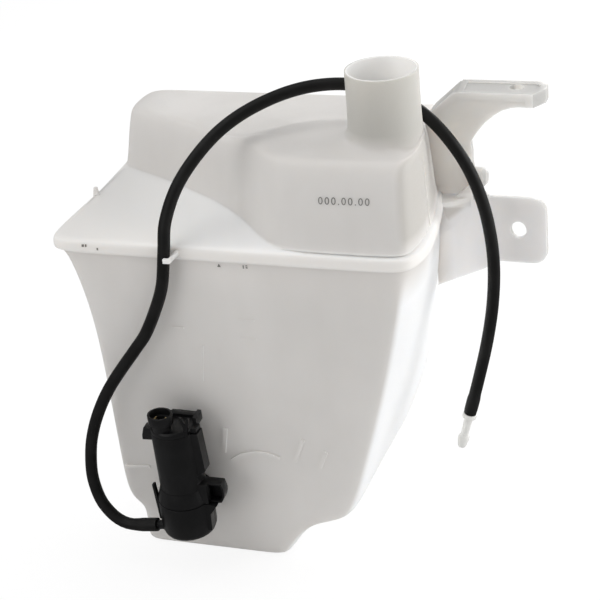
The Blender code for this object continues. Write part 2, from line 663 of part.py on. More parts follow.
def make_end_cap(pump, materials):
    """The cap over the motor, with the connector socket, a snap arm and a cross bar."""
    low = HOUSING_TOP + CLEARANCE
    top = low + CAP_THICKNESS
    r = HOUSING_RADIUS
    boss = BUSHING_RADIUS + 0.0030
    boss_foot = SHAFT_TO - BUSHING_LENGTH
    profile = [(0.0, boss_foot), (boss, boss_foot), (boss, low), (r, low), (r, top - 0.001), (r - 0.001, top), (0.0, top)]
    cap = add_object("pump_end_cap", turned(profile, 28), pump, materials["black"])
    x, y = SOCKET_AT
    neck_half = (SOCKET_HALF[0] - 0.0020, SOCKET_HALF[1] - 0.0018)
    hollow_half = (SOCKET_HALF[0] - SOCKET_WALL, SOCKET_HALF[1] - SOCKET_WALL)
    mouth_foot = SOCKET_TOP - 0.0055
    arm_x, arm_y, arm_top = r - 0.0023, -0.6 * r, top + 0.0098
    arm = [(arm_x - 0.0009, low), (arm_x + 0.0009, low), (arm_x + 0.0014, low + 0.0062), (arm_x + 0.0034, arm_top)]
    arm += [(arm_x + 0.0018, arm_top), (arm_x, low + 0.0080), (arm_x - 0.0018, arm_top)]
    arm += [(arm_x - 0.0034, arm_top), (arm_x - 0.0014, low + 0.0062)]
    joins = [
        ("socket_tower", slab(ellipse((x, y), neck_half, 16), low + 0.001, mouth_foot)),
        ("socket_mouth", slab(ellipse((x, y), SOCKET_HALF, 16), mouth_foot - 0.0005, SOCKET_TOP)),
        ("cap_bar", box((x, r - 0.0013), (r - 0.0085, r - 0.0043), (top - 0.001, top + 0.0022))),
        ("cap_lug", box((r - 0.0018, r + 0.0007), (0.0012, r - 0.0038), (low + 0.0005, top + 0.0032))),
        ("cap_sleeve", box((r - 0.0043, r + 0.0025), (-0.0050, 0.0015), (low, top - 0.0005))),
        ("arm_root", box((arm_x - 0.0040, arm_x + 0.0008), (arm_y - 0.0010, arm_y + 0.0016), (low + 0.0005, top - 0.0008))),
        ("snap_arm", slab(arm, arm_y - 0.0008, arm_y + 0.0006, "XZ")),
    ]
    for name, bm in joins:
        boolean(cap, add_object(name, bm, pump), "UNION")
    pocket = disc(BUSHING_RADIUS + CLEARANCE, boss_foot - 0.001, SHAFT_TO + 0.001, steps=20)
    boolean(cap, add_object("bushing_pocket", pocket, pump), "DIFFERENCE")
    throat_half = (neck_half[0] - SOCKET_WALL, neck_half[1] - SOCKET_WALL)
    throat = slab(ellipse((x, y), throat_half, 16), socket_floor(), SOCKET_TOP)
    boolean(cap, add_object("socket_throat", throat, pump), "DIFFERENCE")
    hollow = slab(ellipse((x, y), hollow_half, 16), mouth_foot + SOCKET_WALL, SOCKET_TOP + 0.002)
    boolean(cap, add_object("socket_hollow", hollow, pump), "DIFFERENCE")
    for side in (-1, 1):
        slot = blade_box(side, CLEARANCE, socket_floor() - BLADE_SEAT - CLEARANCE, SOCKET_TOP)
        boolean(cap, add_object(f"blade_slot_{side + 1}", slot, pump), "DIFFERENCE")
    return cap


def socket_floor():
    return SOCKET_TOP - BLADE[2]


def blade_box(side, spare, bottom, top):
    """A flat terminal's box, or its slot when there is clearance to add."""
    x, y = SOCKET_AT[0] + side * BLADE_SPREAD, SOCKET_AT[1]
    half_x, half_y = BLADE[0] / 2 + spare, BLADE[1] / 2 + spare
    return box((x - half_x, x + half_x), (y - half_y, y + half_y), (bottom, top))


def make_terminals(pump, materials):
    for side, name in ((-1, "terminal_pin_left"), (1, "terminal_pin_right")):
        blade = blade_box(side, 0.0, socket_floor() - BLADE_SEAT, SOCKET_TOP - 0.003)
        add_object(name, blade, pump, materials["brass"])


def make_grommet(pump, materials):
    """The rubber ring in the tank's wall, grooved for the wall and bored for the inlet."""
    wall = wall_y()
    near, far = wall - CLEARANCE, wall + WALL * math.cos(FRONT_DRAFT) + CLEARANCE
    waist = HOLE_RADIUS - CLEARANCE
    bore = INLET_RADIUS + CLEARANCE
    profile = [
        (bore, near - 0.0022),
        (GROMMET_FLANGE - 0.001, near - 0.0022),
        (GROMMET_FLANGE, near - 0.001),
        (GROMMET_FLANGE, near),
        (waist, near),
        (waist, far),
        (GROMMET_FLANGE - 0.001, far),
        (waist, far + 0.003),
        (bore, far + 0.003),
    ]
    grommet = add_object("grommet", turned(profile, 24, axis="Y"), pump, materials["rubber"])
    grommet.location = (0, 0, INLET_Z)
    return grommet


def make_strainer(pump, materials):
    """The slotted screen over the end of the inlet, inside the tank."""
    bore = INLET_RADIUS + CLEARANCE
    start = wall_y() + WALL + 0.0045
    end = INLET_END + 0.006
    profile = [
        (bore, start),
        (bore + 0.0012, start),
        (bore + 0.0012, end + 0.0012),
        (0.0, end + 0.0012),
        (0.0, end),
        (bore, end),
    ]
    strainer = add_object("inlet_strainer", turned(profile, 16, axis="Y"), pump, materials["white"])
    strainer.location = (0, 0, INLET_Z)
    for i in range(3):
        angle = math.radians(60 * i + 30)
        slot = box((-0.010, 0.010), (INLET_END + 0.001, end - 0.001), (-0.0012, 0.0012))
        slot.transform(Matrix.Rotation(angle, 4, "Y"))
        bmesh.ops.translate(slot, verts=slot.verts, vec=(0, 0, INLET_Z))
        boolean(strainer, add_object(f"strainer_slot_{i}", slot, pump), "DIFFERENCE")
    return strainer


def can_floor():
    return BASE_TOP + HOUSING_FLOOR + 2 * CLEARANCE


def can_radius():
    return HOUSING_RADIUS - HOUSING_WALL - CLEARANCE


def make_motor_shell(pump, materials):
    """Steel can, two magnets, two bushings and the shaft seal."""
    floor, r = can_floor(), can_radius()
    hole = BUSHING_RADIUS + CLEARANCE
    profile = [(hole, floor), (r, floor), (r, floor + CAN_LENGTH), (r - CAN_WALL, floor + CAN_LENGTH)]
    profile += [(r - CAN_WALL, floor + CAN_WALL), (hole, floor + CAN_WALL)]
    add_object("motor_can", turned(profile, 28), pump, materials["steel"])
    magnet_out = r - CAN_WALL - CLEARANCE
    magnet_in = magnet_out - MAGNET_THICKNESS
    magnet_from = CORE_FROM + CORE_LENGTH / 2 - MAGNET_LENGTH / 2
    for start, name in ((-55, "magnet_right"), (125, "magnet_left")):
        outline = arc_points((0, 0), magnet_out, start, start + 110, 8)
        outline += arc_points((0, 0), magnet_in, start + 110, start, 8)
        magnet = slab(outline, magnet_from, magnet_from + MAGNET_LENGTH)
        add_object(name, magnet, pump, materials["ferrite"])
    bore = SHAFT_RADIUS + SHAFT_PLAY
    low = disc(BUSHING_RADIUS, floor, floor + BUSHING_LENGTH, bore, 20)
    add_object("bushing_bottom", low, pump, materials["bronze"])
    high = disc(BUSHING_RADIUS, SHAFT_TO - BUSHING_LENGTH, SHAFT_TO, bore, 20)
    add_object("bushing_top", high, pump, materials["bronze"])
    seal_top = BASE_TOP + CLEARANCE + HOUSING_FLOOR
    seal = disc(SEAL_RADIUS, BASE_TOP + CLEARANCE, seal_top, bore, 20)
    add_object("shaft_seal", seal, pump, materials["rubber"])


def make_brushes(pump, materials):
    """The brush holder ring round the commutator, with a brush in each of its two slots."""
    low = commutator_from() + 0.0008
    high = low + 0.0052
    outer = can_radius() - CAN_WALL - CLEARANCE
    holder = add_object("brush_holder", disc(outer, low, high, COMMUTATOR_RADIUS + 0.0008, 24), pump, materials["white"])
    width, reach = 0.0032, outer - 0.0017
    half = width / 2
    slot_low = low + 0.0010
    for side, name in ((-1, "brush_left"), (1, "brush_right")):
        ends = sorted((side * (COMMUTATOR_RADIUS + CLEARANCE), side * (reach - CLEARANCE)))
        brush = box(ends, (-half, half), (slot_low, high - CLEARANCE))
        add_object(name, brush, pump, materials["carbon"])
        ends = sorted((side * COMMUTATOR_RADIUS * 0.9, side * reach))
        spare = CLEARANCE
        slot = box(ends, (-half - spare, half + spare), (slot_low - spare, high + 0.001))
        boolean(holder, add_object(f"brush_slot_{side + 1}", slot, pump), "DIFFERENCE")


def commutator_from():
    return CORE_FROM + CORE_LENGTH + WINDING_HEIGHT + 2 * CLEARANCE


def make_rotor(pump, materials):
    """Everything that turns: shaft, three-slot core, winding, commutator and impeller, on one axis."""
    axis = add_empty("rotor_axis", pump)
    bore = SHAFT_RADIUS + CLEARANCE
    add_object("rotor_shaft", disc(SHAFT_RADIUS, SHAFT_FROM, SHAFT_TO - CLEARANCE, steps=16), axis, materials["steel"])
    top = CORE_FROM + CORE_LENGTH
    core = add_object("armature_core", disc(CORE_RADIUS, CORE_FROM, top, bore, 30), axis, materials["steel"])
    low_coil = disc(WINDING_RADIUS, CORE_FROM - WINDING_HEIGHT, CORE_FROM - CLEARANCE, bore, 18)
    winding = add_object("armature_winding", low_coil, axis, materials["copper"])
    high_coil = disc(WINDING_RADIUS, top + CLEARANCE, top + WINDING_HEIGHT, bore, 18)
    boolean(winding, add_object("high_coil", high_coil, axis), "UNION")
    half = 0.0014
    for i in range(3):
        turn = Matrix.Rotation(math.radians(120 * i + 90), 4, "Z")
        slot = box((0.0036, CORE_RADIUS + 0.001), (-half - CLEARANCE, half + CLEARANCE), (CORE_FROM - 0.001, top + 0.001))
        slot.transform(turn)
        boolean(core, add_object(f"core_slot_{i}", slot, axis), "DIFFERENCE")
        bundle = box(
            (0.0039, WINDING_RADIUS - 0.0004), (-half, half), (CORE_FROM - WINDING_HEIGHT / 2, top + WINDING_HEIGHT / 2)
        )
        bundle.transform(turn)
        boolean(winding, add_object(f"coil_side_{i}", bundle, axis), "UNION")
    make_commutator(axis, materials)
    make_impeller(axis, materials)


def make_commutator(axis, materials):
    low = commutator_from()
    high = low + COMMUTATOR_LENGTH
    bars = disc(COMMUTATOR_RADIUS, low, high, SHAFT_RADIUS + CLEARANCE, 18)
    commutator = add_object("commutator", bars, axis, materials["copper"])
    for i in range(3):
        groove = box((COMMUTATOR_RADIUS - 0.0006, COMMUTATOR_RADIUS + 0.001), (-0.0002, 0.0002), (low - 0.001, high + 0.001))
        groove.transform(Matrix.Rotation(math.radians(120 * i + 30), 4, "Z"))
        boolean(commutator, add_object(f"bar_groove_{i}", groove, axis), "DIFFERENCE")


def make_impeller(axis, materials):
    """A hub with six straight vanes on a thin plate, in the volute."""
    low = SHAFT_FROM - CLEARANCE
    top = low + IMPELLER_HEIGHT
    plate = low + 0.0010
    hub = SHAFT_RADIUS + 0.0016
    bore = SHAFT_RADIUS + CLEARANCE
    profile = [(bore, low), (IMPELLER_RADIUS, low), (IMPELLER_RADIUS, plate), (hub, plate), (hub, top), (bore, top)]
    impeller = add_object("impeller", turned(profile, 24), axis, materials["white"])
    for i in range(6):
        vane = box((hub - 0.0004, IMPELLER_RADIUS - 0.0002), (-0.0005, 0.0005), (low + 0.0004, top - 0.0004))
        vane.transform(Matrix.Rotation(math.radians(60 * i), 4, "Z"))
        boolean(impeller, add_object(f"vane_{i}", vane, axis), "UNION")


def smooth_route(points, step):
    """Points at even steps along a smooth curve through the route's own points."""
    path = [Vector(p) for p in points]
    fine = []
    for i in range(len(path) - 1):
        p0 = path[i - 1] if i else 2 * path[0] - path[1]
        p1, p2 = path[i], path[i + 1]
        p3 = path[i + 2] if i + 2 < len(path) else 2 * path[-1] - path[-2]
        for k in range(12):
            t = k / 12
            fine.append(
                0.5 * (2 * p1 + (p2 - p0) * t + (2 * p0 - 5 * p1 + 4 * p2 - p3) * t**2 + (3 * p1 - p0 - 3 * p2 + p3) * t**3)
            )
    fine.append(path[-1])
    lengths = [0.0]
    for a, b in zip(fine, fine[1:]):
        lengths.append(lengths[-1] + (b - a).length)
    count = round(lengths[-1] / step)
    even, k = [], 0
    for i in range(count + 1):
        want = lengths[-1] * i / count
        while k < len(fine) - 2 and lengths[k + 1] < want:
            k += 1
        even.append(fine[k].lerp(fine[k + 1], (want - lengths[k]) / (lengths[k + 1] - lengths[k])))
    return even


def make_hose(root, materials):
    """The rubber hose as a round tube along its route."""
    curve = bpy.data.curves.new("hose", "CURVE")
    curve.dimensions = "3D"
    curve.bevel_depth = HOSE_RADIUS
    curve.bevel_resolution = 2
    curve.use_fill_caps = True
    points = smooth_route(HOSE_ROUTE, HOSE_STEP)
    spline = curve.splines.new("POLY")
    spline.points.add(len(points) - 1)
    for knot, place in zip(spline.points, points):
        knot.co = (*place, 1.0)
    curve.materials.append(materials["rubber"])
    hose = bpy.data.objects.new("hose", curve)
    bpy.context.scene.collection.objects.link(hose)
    hose.parent = root
    return hose


def make_fitting(root, materials):
    """The white straight fitting at the hose's free end: collar, stem and a barbed tip."""
    end, before = Vector(HOSE_ROUTE[-1]), Vector(HOSE_ROUTE[-2])
    along = (end - before).normalized()
    n = FITTING_LENGTH
    profile = [
        (0.0, CLEARANCE),
        (0.0040, CLEARANCE),
        (0.0044, 0.0012),
        (0.0044, 0.0030),
        (0.0026, 0.0036),
        (0.0024, n - 0.0090),
        (0.0036, n - 0.0075),
        (0.0034, n - 0.0050),
        (0.0026, n - 0.0010),
        (0.0020, n),
        (0.0, n),
    ]
    fitting = add_object("hose_fitting", turned(profile, 16), root, materials["white"])
    fitting.location = end
    fitting.rotation_euler = along.to_track_quat("Z", "Y").to_euler()
    return fitting


def shade_round():
    """Round pieces are smooth, with their real edges kept sharp."""
    for obj in bpy.data.objects:
        if obj.type == "MESH" and not obj.hide_render:
            obj.data.shade_smooth()
            obj.data.set_sharp_from_angle(angle=math.radians(35))


def build():
    clear_scene()
    materials = make_materials()
    root = add_empty("reservoir", None, (-FOOT_MIDDLE[0], -FOOT_MIDDLE[1], 0.0))
    tank = make_tank(root, materials)
    pump = add_empty("pump", root, PUMP_AT, (FRONT_DRAFT, 0.0, 0.0))
    make_base_cover(pump, materials)
    make_housing(pump, materials)
    make_end_cap(pump, materials)
    make_terminals(pump, materials)
    make_grommet(pump, materials)
    make_strainer(pump, materials)
    make_motor_shell(pump, materials)
    make_brushes(pump, materials)
    make_rotor(pump, materials)
    hole = disc(HOLE_RADIUS, 0.010, 0.034, axis="Y", steps=28)
    bmesh.ops.translate(hole, verts=hole.verts, vec=(0, 0, INLET_Z))
    boolean(tank, add_object("grommet_hole", hole, pump), "DIFFERENCE")
    make_hose(root, materials)
    make_fitting(root, materials)
    shade_round()


build()
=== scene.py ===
"""Washer fluid reservoir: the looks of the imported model, in metres, in the CAD frame."""

import json
import math

import bmesh
import bpy
from mathutils import Matrix, Vector
from mathutils.bvhtree import BVHTree


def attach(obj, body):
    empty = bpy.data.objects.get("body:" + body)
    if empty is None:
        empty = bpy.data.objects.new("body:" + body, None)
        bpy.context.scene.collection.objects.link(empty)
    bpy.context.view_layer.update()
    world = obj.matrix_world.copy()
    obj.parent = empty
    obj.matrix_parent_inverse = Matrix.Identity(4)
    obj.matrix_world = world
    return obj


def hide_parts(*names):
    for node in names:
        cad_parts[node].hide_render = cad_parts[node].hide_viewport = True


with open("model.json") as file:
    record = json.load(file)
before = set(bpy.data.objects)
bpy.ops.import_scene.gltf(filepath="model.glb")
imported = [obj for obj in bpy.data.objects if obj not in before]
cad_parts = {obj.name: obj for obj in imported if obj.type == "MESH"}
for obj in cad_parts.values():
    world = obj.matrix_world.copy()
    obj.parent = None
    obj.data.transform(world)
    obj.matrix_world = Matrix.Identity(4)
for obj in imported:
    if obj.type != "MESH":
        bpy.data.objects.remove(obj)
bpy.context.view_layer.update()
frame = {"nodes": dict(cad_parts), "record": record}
nodes = frame["nodes"]

# Camera: a 108 mm lens to the right of the front and above the rim, turned a little about its own axis,
# as in the photo.
forward = Vector((-0.3172, 0.8351, -0.4493)).normalized()
level = forward.cross(Vector((0, 0, 1))).normalized()
upright = level.cross(forward)
ROLL = math.radians(5.5)
right = level * math.cos(ROLL) - upright * math.sin(ROLL)
up = upright * math.cos(ROLL) + level * math.sin(ROLL)
camera = bpy.data.objects.new("camera", bpy.data.cameras.new("camera"))
camera.data.lens = 108
camera.data.sensor_width = 36
camera.data.sensor_fit = "HORIZONTAL"
turn = Matrix((right, up, -forward)).transposed().to_4x4()
camera.matrix_world = Matrix.Translation((0.4033, -0.9204, 0.6570)) @ turn
bpy.context.scene.collection.objects.link(camera)
bpy.context.scene.camera = camera

# Tank: one blow-moulded shell of natural polyethylene with a wall of 2.5 mm, standing on its sump.
# The front leans out by its draft, a rim band marks the parting, and a stepped shoulder carries the neck.
# Rings of control points are extruded one from another and smoothed, and the inner solid is cut out.
# Layout coordinates have Y = 0 near the front parting line, and the frame's origin is the middle of the foot.
TO_FRAME = Vector((-0.010, -0.056, 0.0))
LAYOUT = Matrix.Translation(TO_FRAME)
WALL = 0.0025
FOOT_FRONT_Y = 0.0135
FRONT_DRAFT = math.radians(4.03)
SUMP_HEIGHT = 0.026
LIP_Z = 0.2135
RIM_Z = 0.222
BLOCK_Z = 0.2645
NECK_BLOCK_Z = 0.2735
NECK_X, NECK_Y = 0.128, 0.049
NECK_RADIUS = 0.021
NECK_WALL = 0.0014
NECK_TOP_Z = 0.316
ARC_PULL = 0.2
FRONT_STATIONS = (0.10, 0.25, 0.37, 0.50, 0.59, 0.66, 0.84)
RIGHT_STATIONS = (0.22, 0.55, 0.80)
BACK_STATIONS = (0.25, 0.50, 0.75)
LEFT_STATIONS = (0.35, 0.70)


def front_y(z):
    """The front face of the lower shell, leaning forward by its draft."""
    return FOOT_FRONT_Y - z * math.tan(FRONT_DRAFT)


def corner(before, at, after, radius):
    back = (before - at).normalized() * radius
    ahead = (after - at).normalized() * radius
    return [at + back, at + (back + ahead) * ARC_PULL, at + ahead]


def ring(corners, radius, front=None, right_side=None):
    """One control outline of the tank, from its front left corner round to the right."""
    corners = [Vector(c) for c in corners]
    sides = [FRONT_STATIONS, RIGHT_STATIONS, BACK_STATIONS, LEFT_STATIONS]
    bends = [front, right_side, None, None]
    runs = []
    for i, at in enumerate(corners):
        nearest = Vector(bends[i][0]) if bends[i] else corners[(i + 1) % 4]
        before = bends[i - 1]
        runs.append(corner(Vector(before[-1]) if before else corners[i - 1], at, nearest, radius))
    points = []
    for i, side in enumerate(sides):
        points += runs[i]
        start, end = runs[i][2], runs[(i + 1) % 4][0]
        points += [Vector(p) for p in bends[i]] if bends[i] else [start.lerp(end, s) for s in side]
    return points


def flat_ring(z, left, right_x, back, radius, back_left=None, back_right=None):
    y = front_y(z)
    far_left = left if back_left is None else back_left
    far_right = right_x if back_right is None else back_right
    return ring([(left, y, z), (right_x, y, z), (far_right, back, z), (far_left, back, z)], radius)


def shrunk(points, share):
    middle = sum(points, Vector()) / len(points)
    return [middle.lerp(p, share) for p in points]


def neck_ring(radius, z):
    count = 12 + len(FRONT_STATIONS) + len(RIGHT_STATIONS) + len(BACK_STATIONS) + len(LEFT_STATIONS)
    turn_by = 2 * math.pi / count
    radius *= 3.0 / (2.0 + math.cos(turn_by))
    first = math.radians(-205)
    angles = [first + i * turn_by for i in range(count)]
    return [Vector((NECK_X + radius * math.cos(a), NECK_Y + radius * math.sin(a), z)) for a in angles]


def block_front(z_low, z_high, draft):
    x, y = draft * 0.25, draft * 0.6
    return [
        (-0.030 + x, 0.087 + y, z_low),
        (0.000 + x, 0.068 + y, z_low),
        (0.019 + x, 0.056 + y, z_low),
        (0.043 + x, 0.034 + y, z_high),
        (0.060 + x, 0.013 + y, z_high),
        (0.077 + x * 0.3, 0.0005 + draft, z_high),
        (0.110, draft, z_high),
    ]


def block_ring(z_low, z_high, draft, radius):
    d = draft
    corners = [
        (-0.067 + d * 0.6, 0.104 + d * 0.8, z_low),
        (0.1515 - d * 0.3, 0.0005 + d, z_high),
        (0.1200 - d * 0.6, 0.1495 - d * 0.3, z_low),
        (-0.067 + d * 0.6, 0.1495 - d * 0.3, z_low),
    ]
    right_side = [
        (0.1542 - d * 0.2, 0.036, z_high),
        (0.1490 - d * 0.4, 0.080, z_high),
        (0.1340 - d * 0.6, 0.122 - d * 0.3, z_low),
    ]
    return ring(corners, radius, block_front(z_low, z_high, d), right_side)


def crease_ring(z_low, z_high, spread):
    s = spread
    corners = [
        (0.044 - s * 0.8, 0.062 + s * 0.4, z_low),
        (0.1455, 0.0205, z_high),
        (0.124, 0.0930 + s, z_low),
        (0.066 - s * 0.6, 0.0780 + s, z_low),
    ]
    front = [
        (0.0425 - s * 0.8, 0.0580, z_low),
        (0.0425 - s * 0.8, 0.0555, z_low),
        (0.0435 - s * 0.6, 0.0530, (z_low + z_high) / 2),
        (0.0525, 0.0455, z_high),
        (0.0665, 0.0300, z_high),
        (0.0810, 0.0205, z_high),
        (0.1100, 0.0185, z_high),
    ]
    right_side = [
        (0.1512, 0.047, z_high),
        (0.1435, 0.078, z_high),
        (0.1380 + s * 0.2, 0.0920 + s * 0.5, (z_low + z_high) / 2),
    ]
    return ring(corners, 0.004, front, right_side)


def rim_ring(z, out):
    o = out
    corners = [
        (-0.0700 - o, -0.0010 - o, z),
        (0.1515 + o, -0.0010 - o, z),
        (0.1250 + o, 0.1500 + o, z),
        (-0.0640 - o, 0.1500 + o, z),
    ]
    right_side = [(0.1560 + o, 0.028, z), (0.1485 + o, 0.084, z), (0.1370 + o, 0.126, z)]
    return ring(corners, 0.014, None, right_side)


def lower_rings():
    foot = flat_ring(0.0, -0.0420, 0.0545, 0.0980, 0.008)
    high = [(-0.0530, front_y(0.040), 0.040), (0.1040, front_y(0.042), 0.042)]
    high += [(0.1075, 0.1060, 0.050), (-0.0530, 0.1080, 0.044)]
    under = [(-0.0500, front_y(0.030), 0.030), (0.0980, front_y(0.032), 0.032)]
    under += [(0.0985, 0.1020, 0.040), (-0.0500, 0.1040, 0.034)]
    shoulder = [(0.1535, 0.028, 0.2065), (0.1485, 0.083, 0.2065), (0.1365, 0.124, 0.2065)]
    upper = [(-0.0605, front_y(0.2065), 0.2065), (0.1490, front_y(0.2065), 0.2065)]
    upper += [(0.1230, 0.1465, 0.2065), (-0.0610, 0.1450, 0.2065)]
    waist = [(0.1460, 0.030, 0.167), (0.1460, 0.080, 0.167), (0.1385, 0.115, 0.167)]
    middle = [(-0.0530, front_y(0.167), 0.167), (0.1405, front_y(0.167), 0.167)]
    middle += [(0.1240, 0.1380, 0.167), (-0.0560, 0.1360, 0.167)]
    return [
        (shrunk(foot, 0.86), -1),
        (foot, -1),
        (flat_ring(0.0045, -0.0435, 0.0585, 0.0990, 0.009), 0),
        (flat_ring(SUMP_HEIGHT, -0.0415, 0.0720, 0.1000, 0.009), -1),
        (ring(under, 0.010), -1),
        (ring(high, 0.010), 0),
        (flat_ring(0.060, -0.0530, 0.1106, 0.1100, 0.009, -0.0530, 0.1165), 0),
        (flat_ring(0.118, -0.0526, 0.1285, 0.1260, 0.009, -0.0545, 0.1350), 0),
        (ring(middle, 0.009, None, waist), 0),
        (ring(upper, 0.009, None, shoulder), 0),
    ]


def upper_rings():
    step = NECK_BLOCK_Z - BLOCK_Z
    return [
        (block_ring(RIM_Z + 0.0010, RIM_Z + 0.0010, -0.0016, 0.011), 1),
        (block_ring(RIM_Z + 0.0030, RIM_Z + 0.0030, -0.0002, 0.011), 0),
        (block_ring(RIM_Z + 0.0085, RIM_Z + 0.0085, 0.0018, 0.010), 0),
        (block_ring(BLOCK_Z - 0.006, NECK_BLOCK_Z - 0.008, 0.007, 0.011), 0),
        (block_ring(BLOCK_Z, NECK_BLOCK_Z, 0.013, 0.009), 1),
        (crease_ring(BLOCK_Z, NECK_BLOCK_Z, 0.004), 1),
        (crease_ring(BLOCK_Z + step, NECK_BLOCK_Z, -0.002), 1),
        (neck_ring(NECK_RADIUS + 0.0015, NECK_BLOCK_Z + 0.001), 1),
        (neck_ring(NECK_RADIUS, NECK_BLOCK_Z + 0.008), 0),
    ]


def band_rings():
    return [
        (rim_ring(LIP_Z, -0.0010), -1),
        (rim_ring(LIP_Z + 0.0009, 0.0016), 0),
        (rim_ring(LIP_Z + 0.0020, 0.0024), 0),
        (rim_ring(RIM_Z - 0.0018, 0.0022), 0),
        (rim_ring(RIM_Z - 0.0005, 0.0014), 0),
        (rim_ring(RIM_Z + 0.0004, -0.0010), 0),
        (rim_ring(RIM_Z + 0.0006, -0.0030), 1),
    ]


def inset(points, wall, lift):
    moved = []
    count = len(points)
    for i, p in enumerate(points):
        along = points[(i + 1) % count] - points[i - 1]
        inward = Vector((-along.y, along.x, 0.0)).normalized()
        moved.append(p + inward * wall + Vector((0, 0, lift)))
    return moved


class Value:
    """A shader socket that takes part in plain arithmetic."""

    def __init__(self, paint, socket):
        self.paint, self.socket = paint, socket

    def math(self, operation, *others):
        return self.paint.node("ShaderNodeMath", {"operation": operation}, dict(enumerate((self, *others))))

    def __add__(self, other):
        return self.math("ADD", other)

    def __mul__(self, other):
        return self.math("MULTIPLY", other)

    def __sub__(self, other):
        return self.math("SUBTRACT", other)

    __radd__ = __add__
    __rmul__ = __mul__

    def __rsub__(self, other):
        return self * -1.0 + other

    def mapped(self, low, high, to_low=0.0, to_high=1.0):
        return self.paint.node("ShaderNodeMapRange", {}, dict(enumerate((self, low, high, to_low, to_high))))


class Paint:
    """The nodes of one material or of the world."""

    def __init__(self, owner):
        owner.use_nodes = True
        self.owner, self.tree = owner, owner.node_tree

    def plug(self, entry, item):
        """Puts a value, a colour or another socket into an input."""
        if isinstance(item, Value):
            self.tree.links.new(item.socket, entry)
        elif isinstance(item, tuple) and entry.type == "RGBA":
            entry.default_value = (*item, 1.0)
        else:
            entry.default_value = item

    def node(self, kind, settings=None, inputs=None, output=0):
        """Any node: its settings first, then the values or links of its inputs."""
        made = self.tree.nodes.new(kind)
        for name, setting in (settings or {}).items():
            setattr(made, name, setting)
        for key, item in (inputs or {}).items():
            self.plug(made.inputs[key], item)
        return Value(self, made.outputs[output])

    def set(self, name, item):
        self.plug(self.tree.nodes["Principled BSDF"].inputs[name], item)

    def noise(self, scale, detail=3.0, stretch=(1.0, 1.0, 1.0)):
        """Cloudy noise from 0 to 1, with features 1 / scale metres across."""
        place = self.node("ShaderNodeTexCoord", output="Object")
        place = self.node("ShaderNodeMapping", inputs={"Vector": place, "Scale": stretch})
        return self.node("ShaderNodeTexNoise", inputs={"Vector": place, "Scale": scale, "Detail": detail})

    def axis(self, index):
        place = self.node("ShaderNodeTexCoord", output="Object")
        return self.node("ShaderNodeSeparateXYZ", inputs={0: place}, output=index)

    def facing(self, index):
        """The surface normal's part along one axis."""
        normal = self.node("ShaderNodeNewGeometry", output="Normal")
        return self.node("ShaderNodeSeparateXYZ", inputs={0: normal}, output=index)

    def blend(self, factor, first, second):
        return self.node("ShaderNodeMix", {"data_type": "RGBA"}, {"Factor": factor, 6: first, 7: second}, 2)

    def bump(self, height, distance, strength=1.0):
        inputs = {"Height": height, "Distance": distance, "Strength": strength}
        self.set("Normal", self.node("ShaderNodeBump", inputs=inputs))


def principled(name, colour, roughness, metallic=0.0):
    paint = Paint(bpy.data.materials.new(name))
    paint.set("Base Color", colour)
    paint.set("Roughness", roughness)
    paint.set("Metallic", metallic)
    return paint


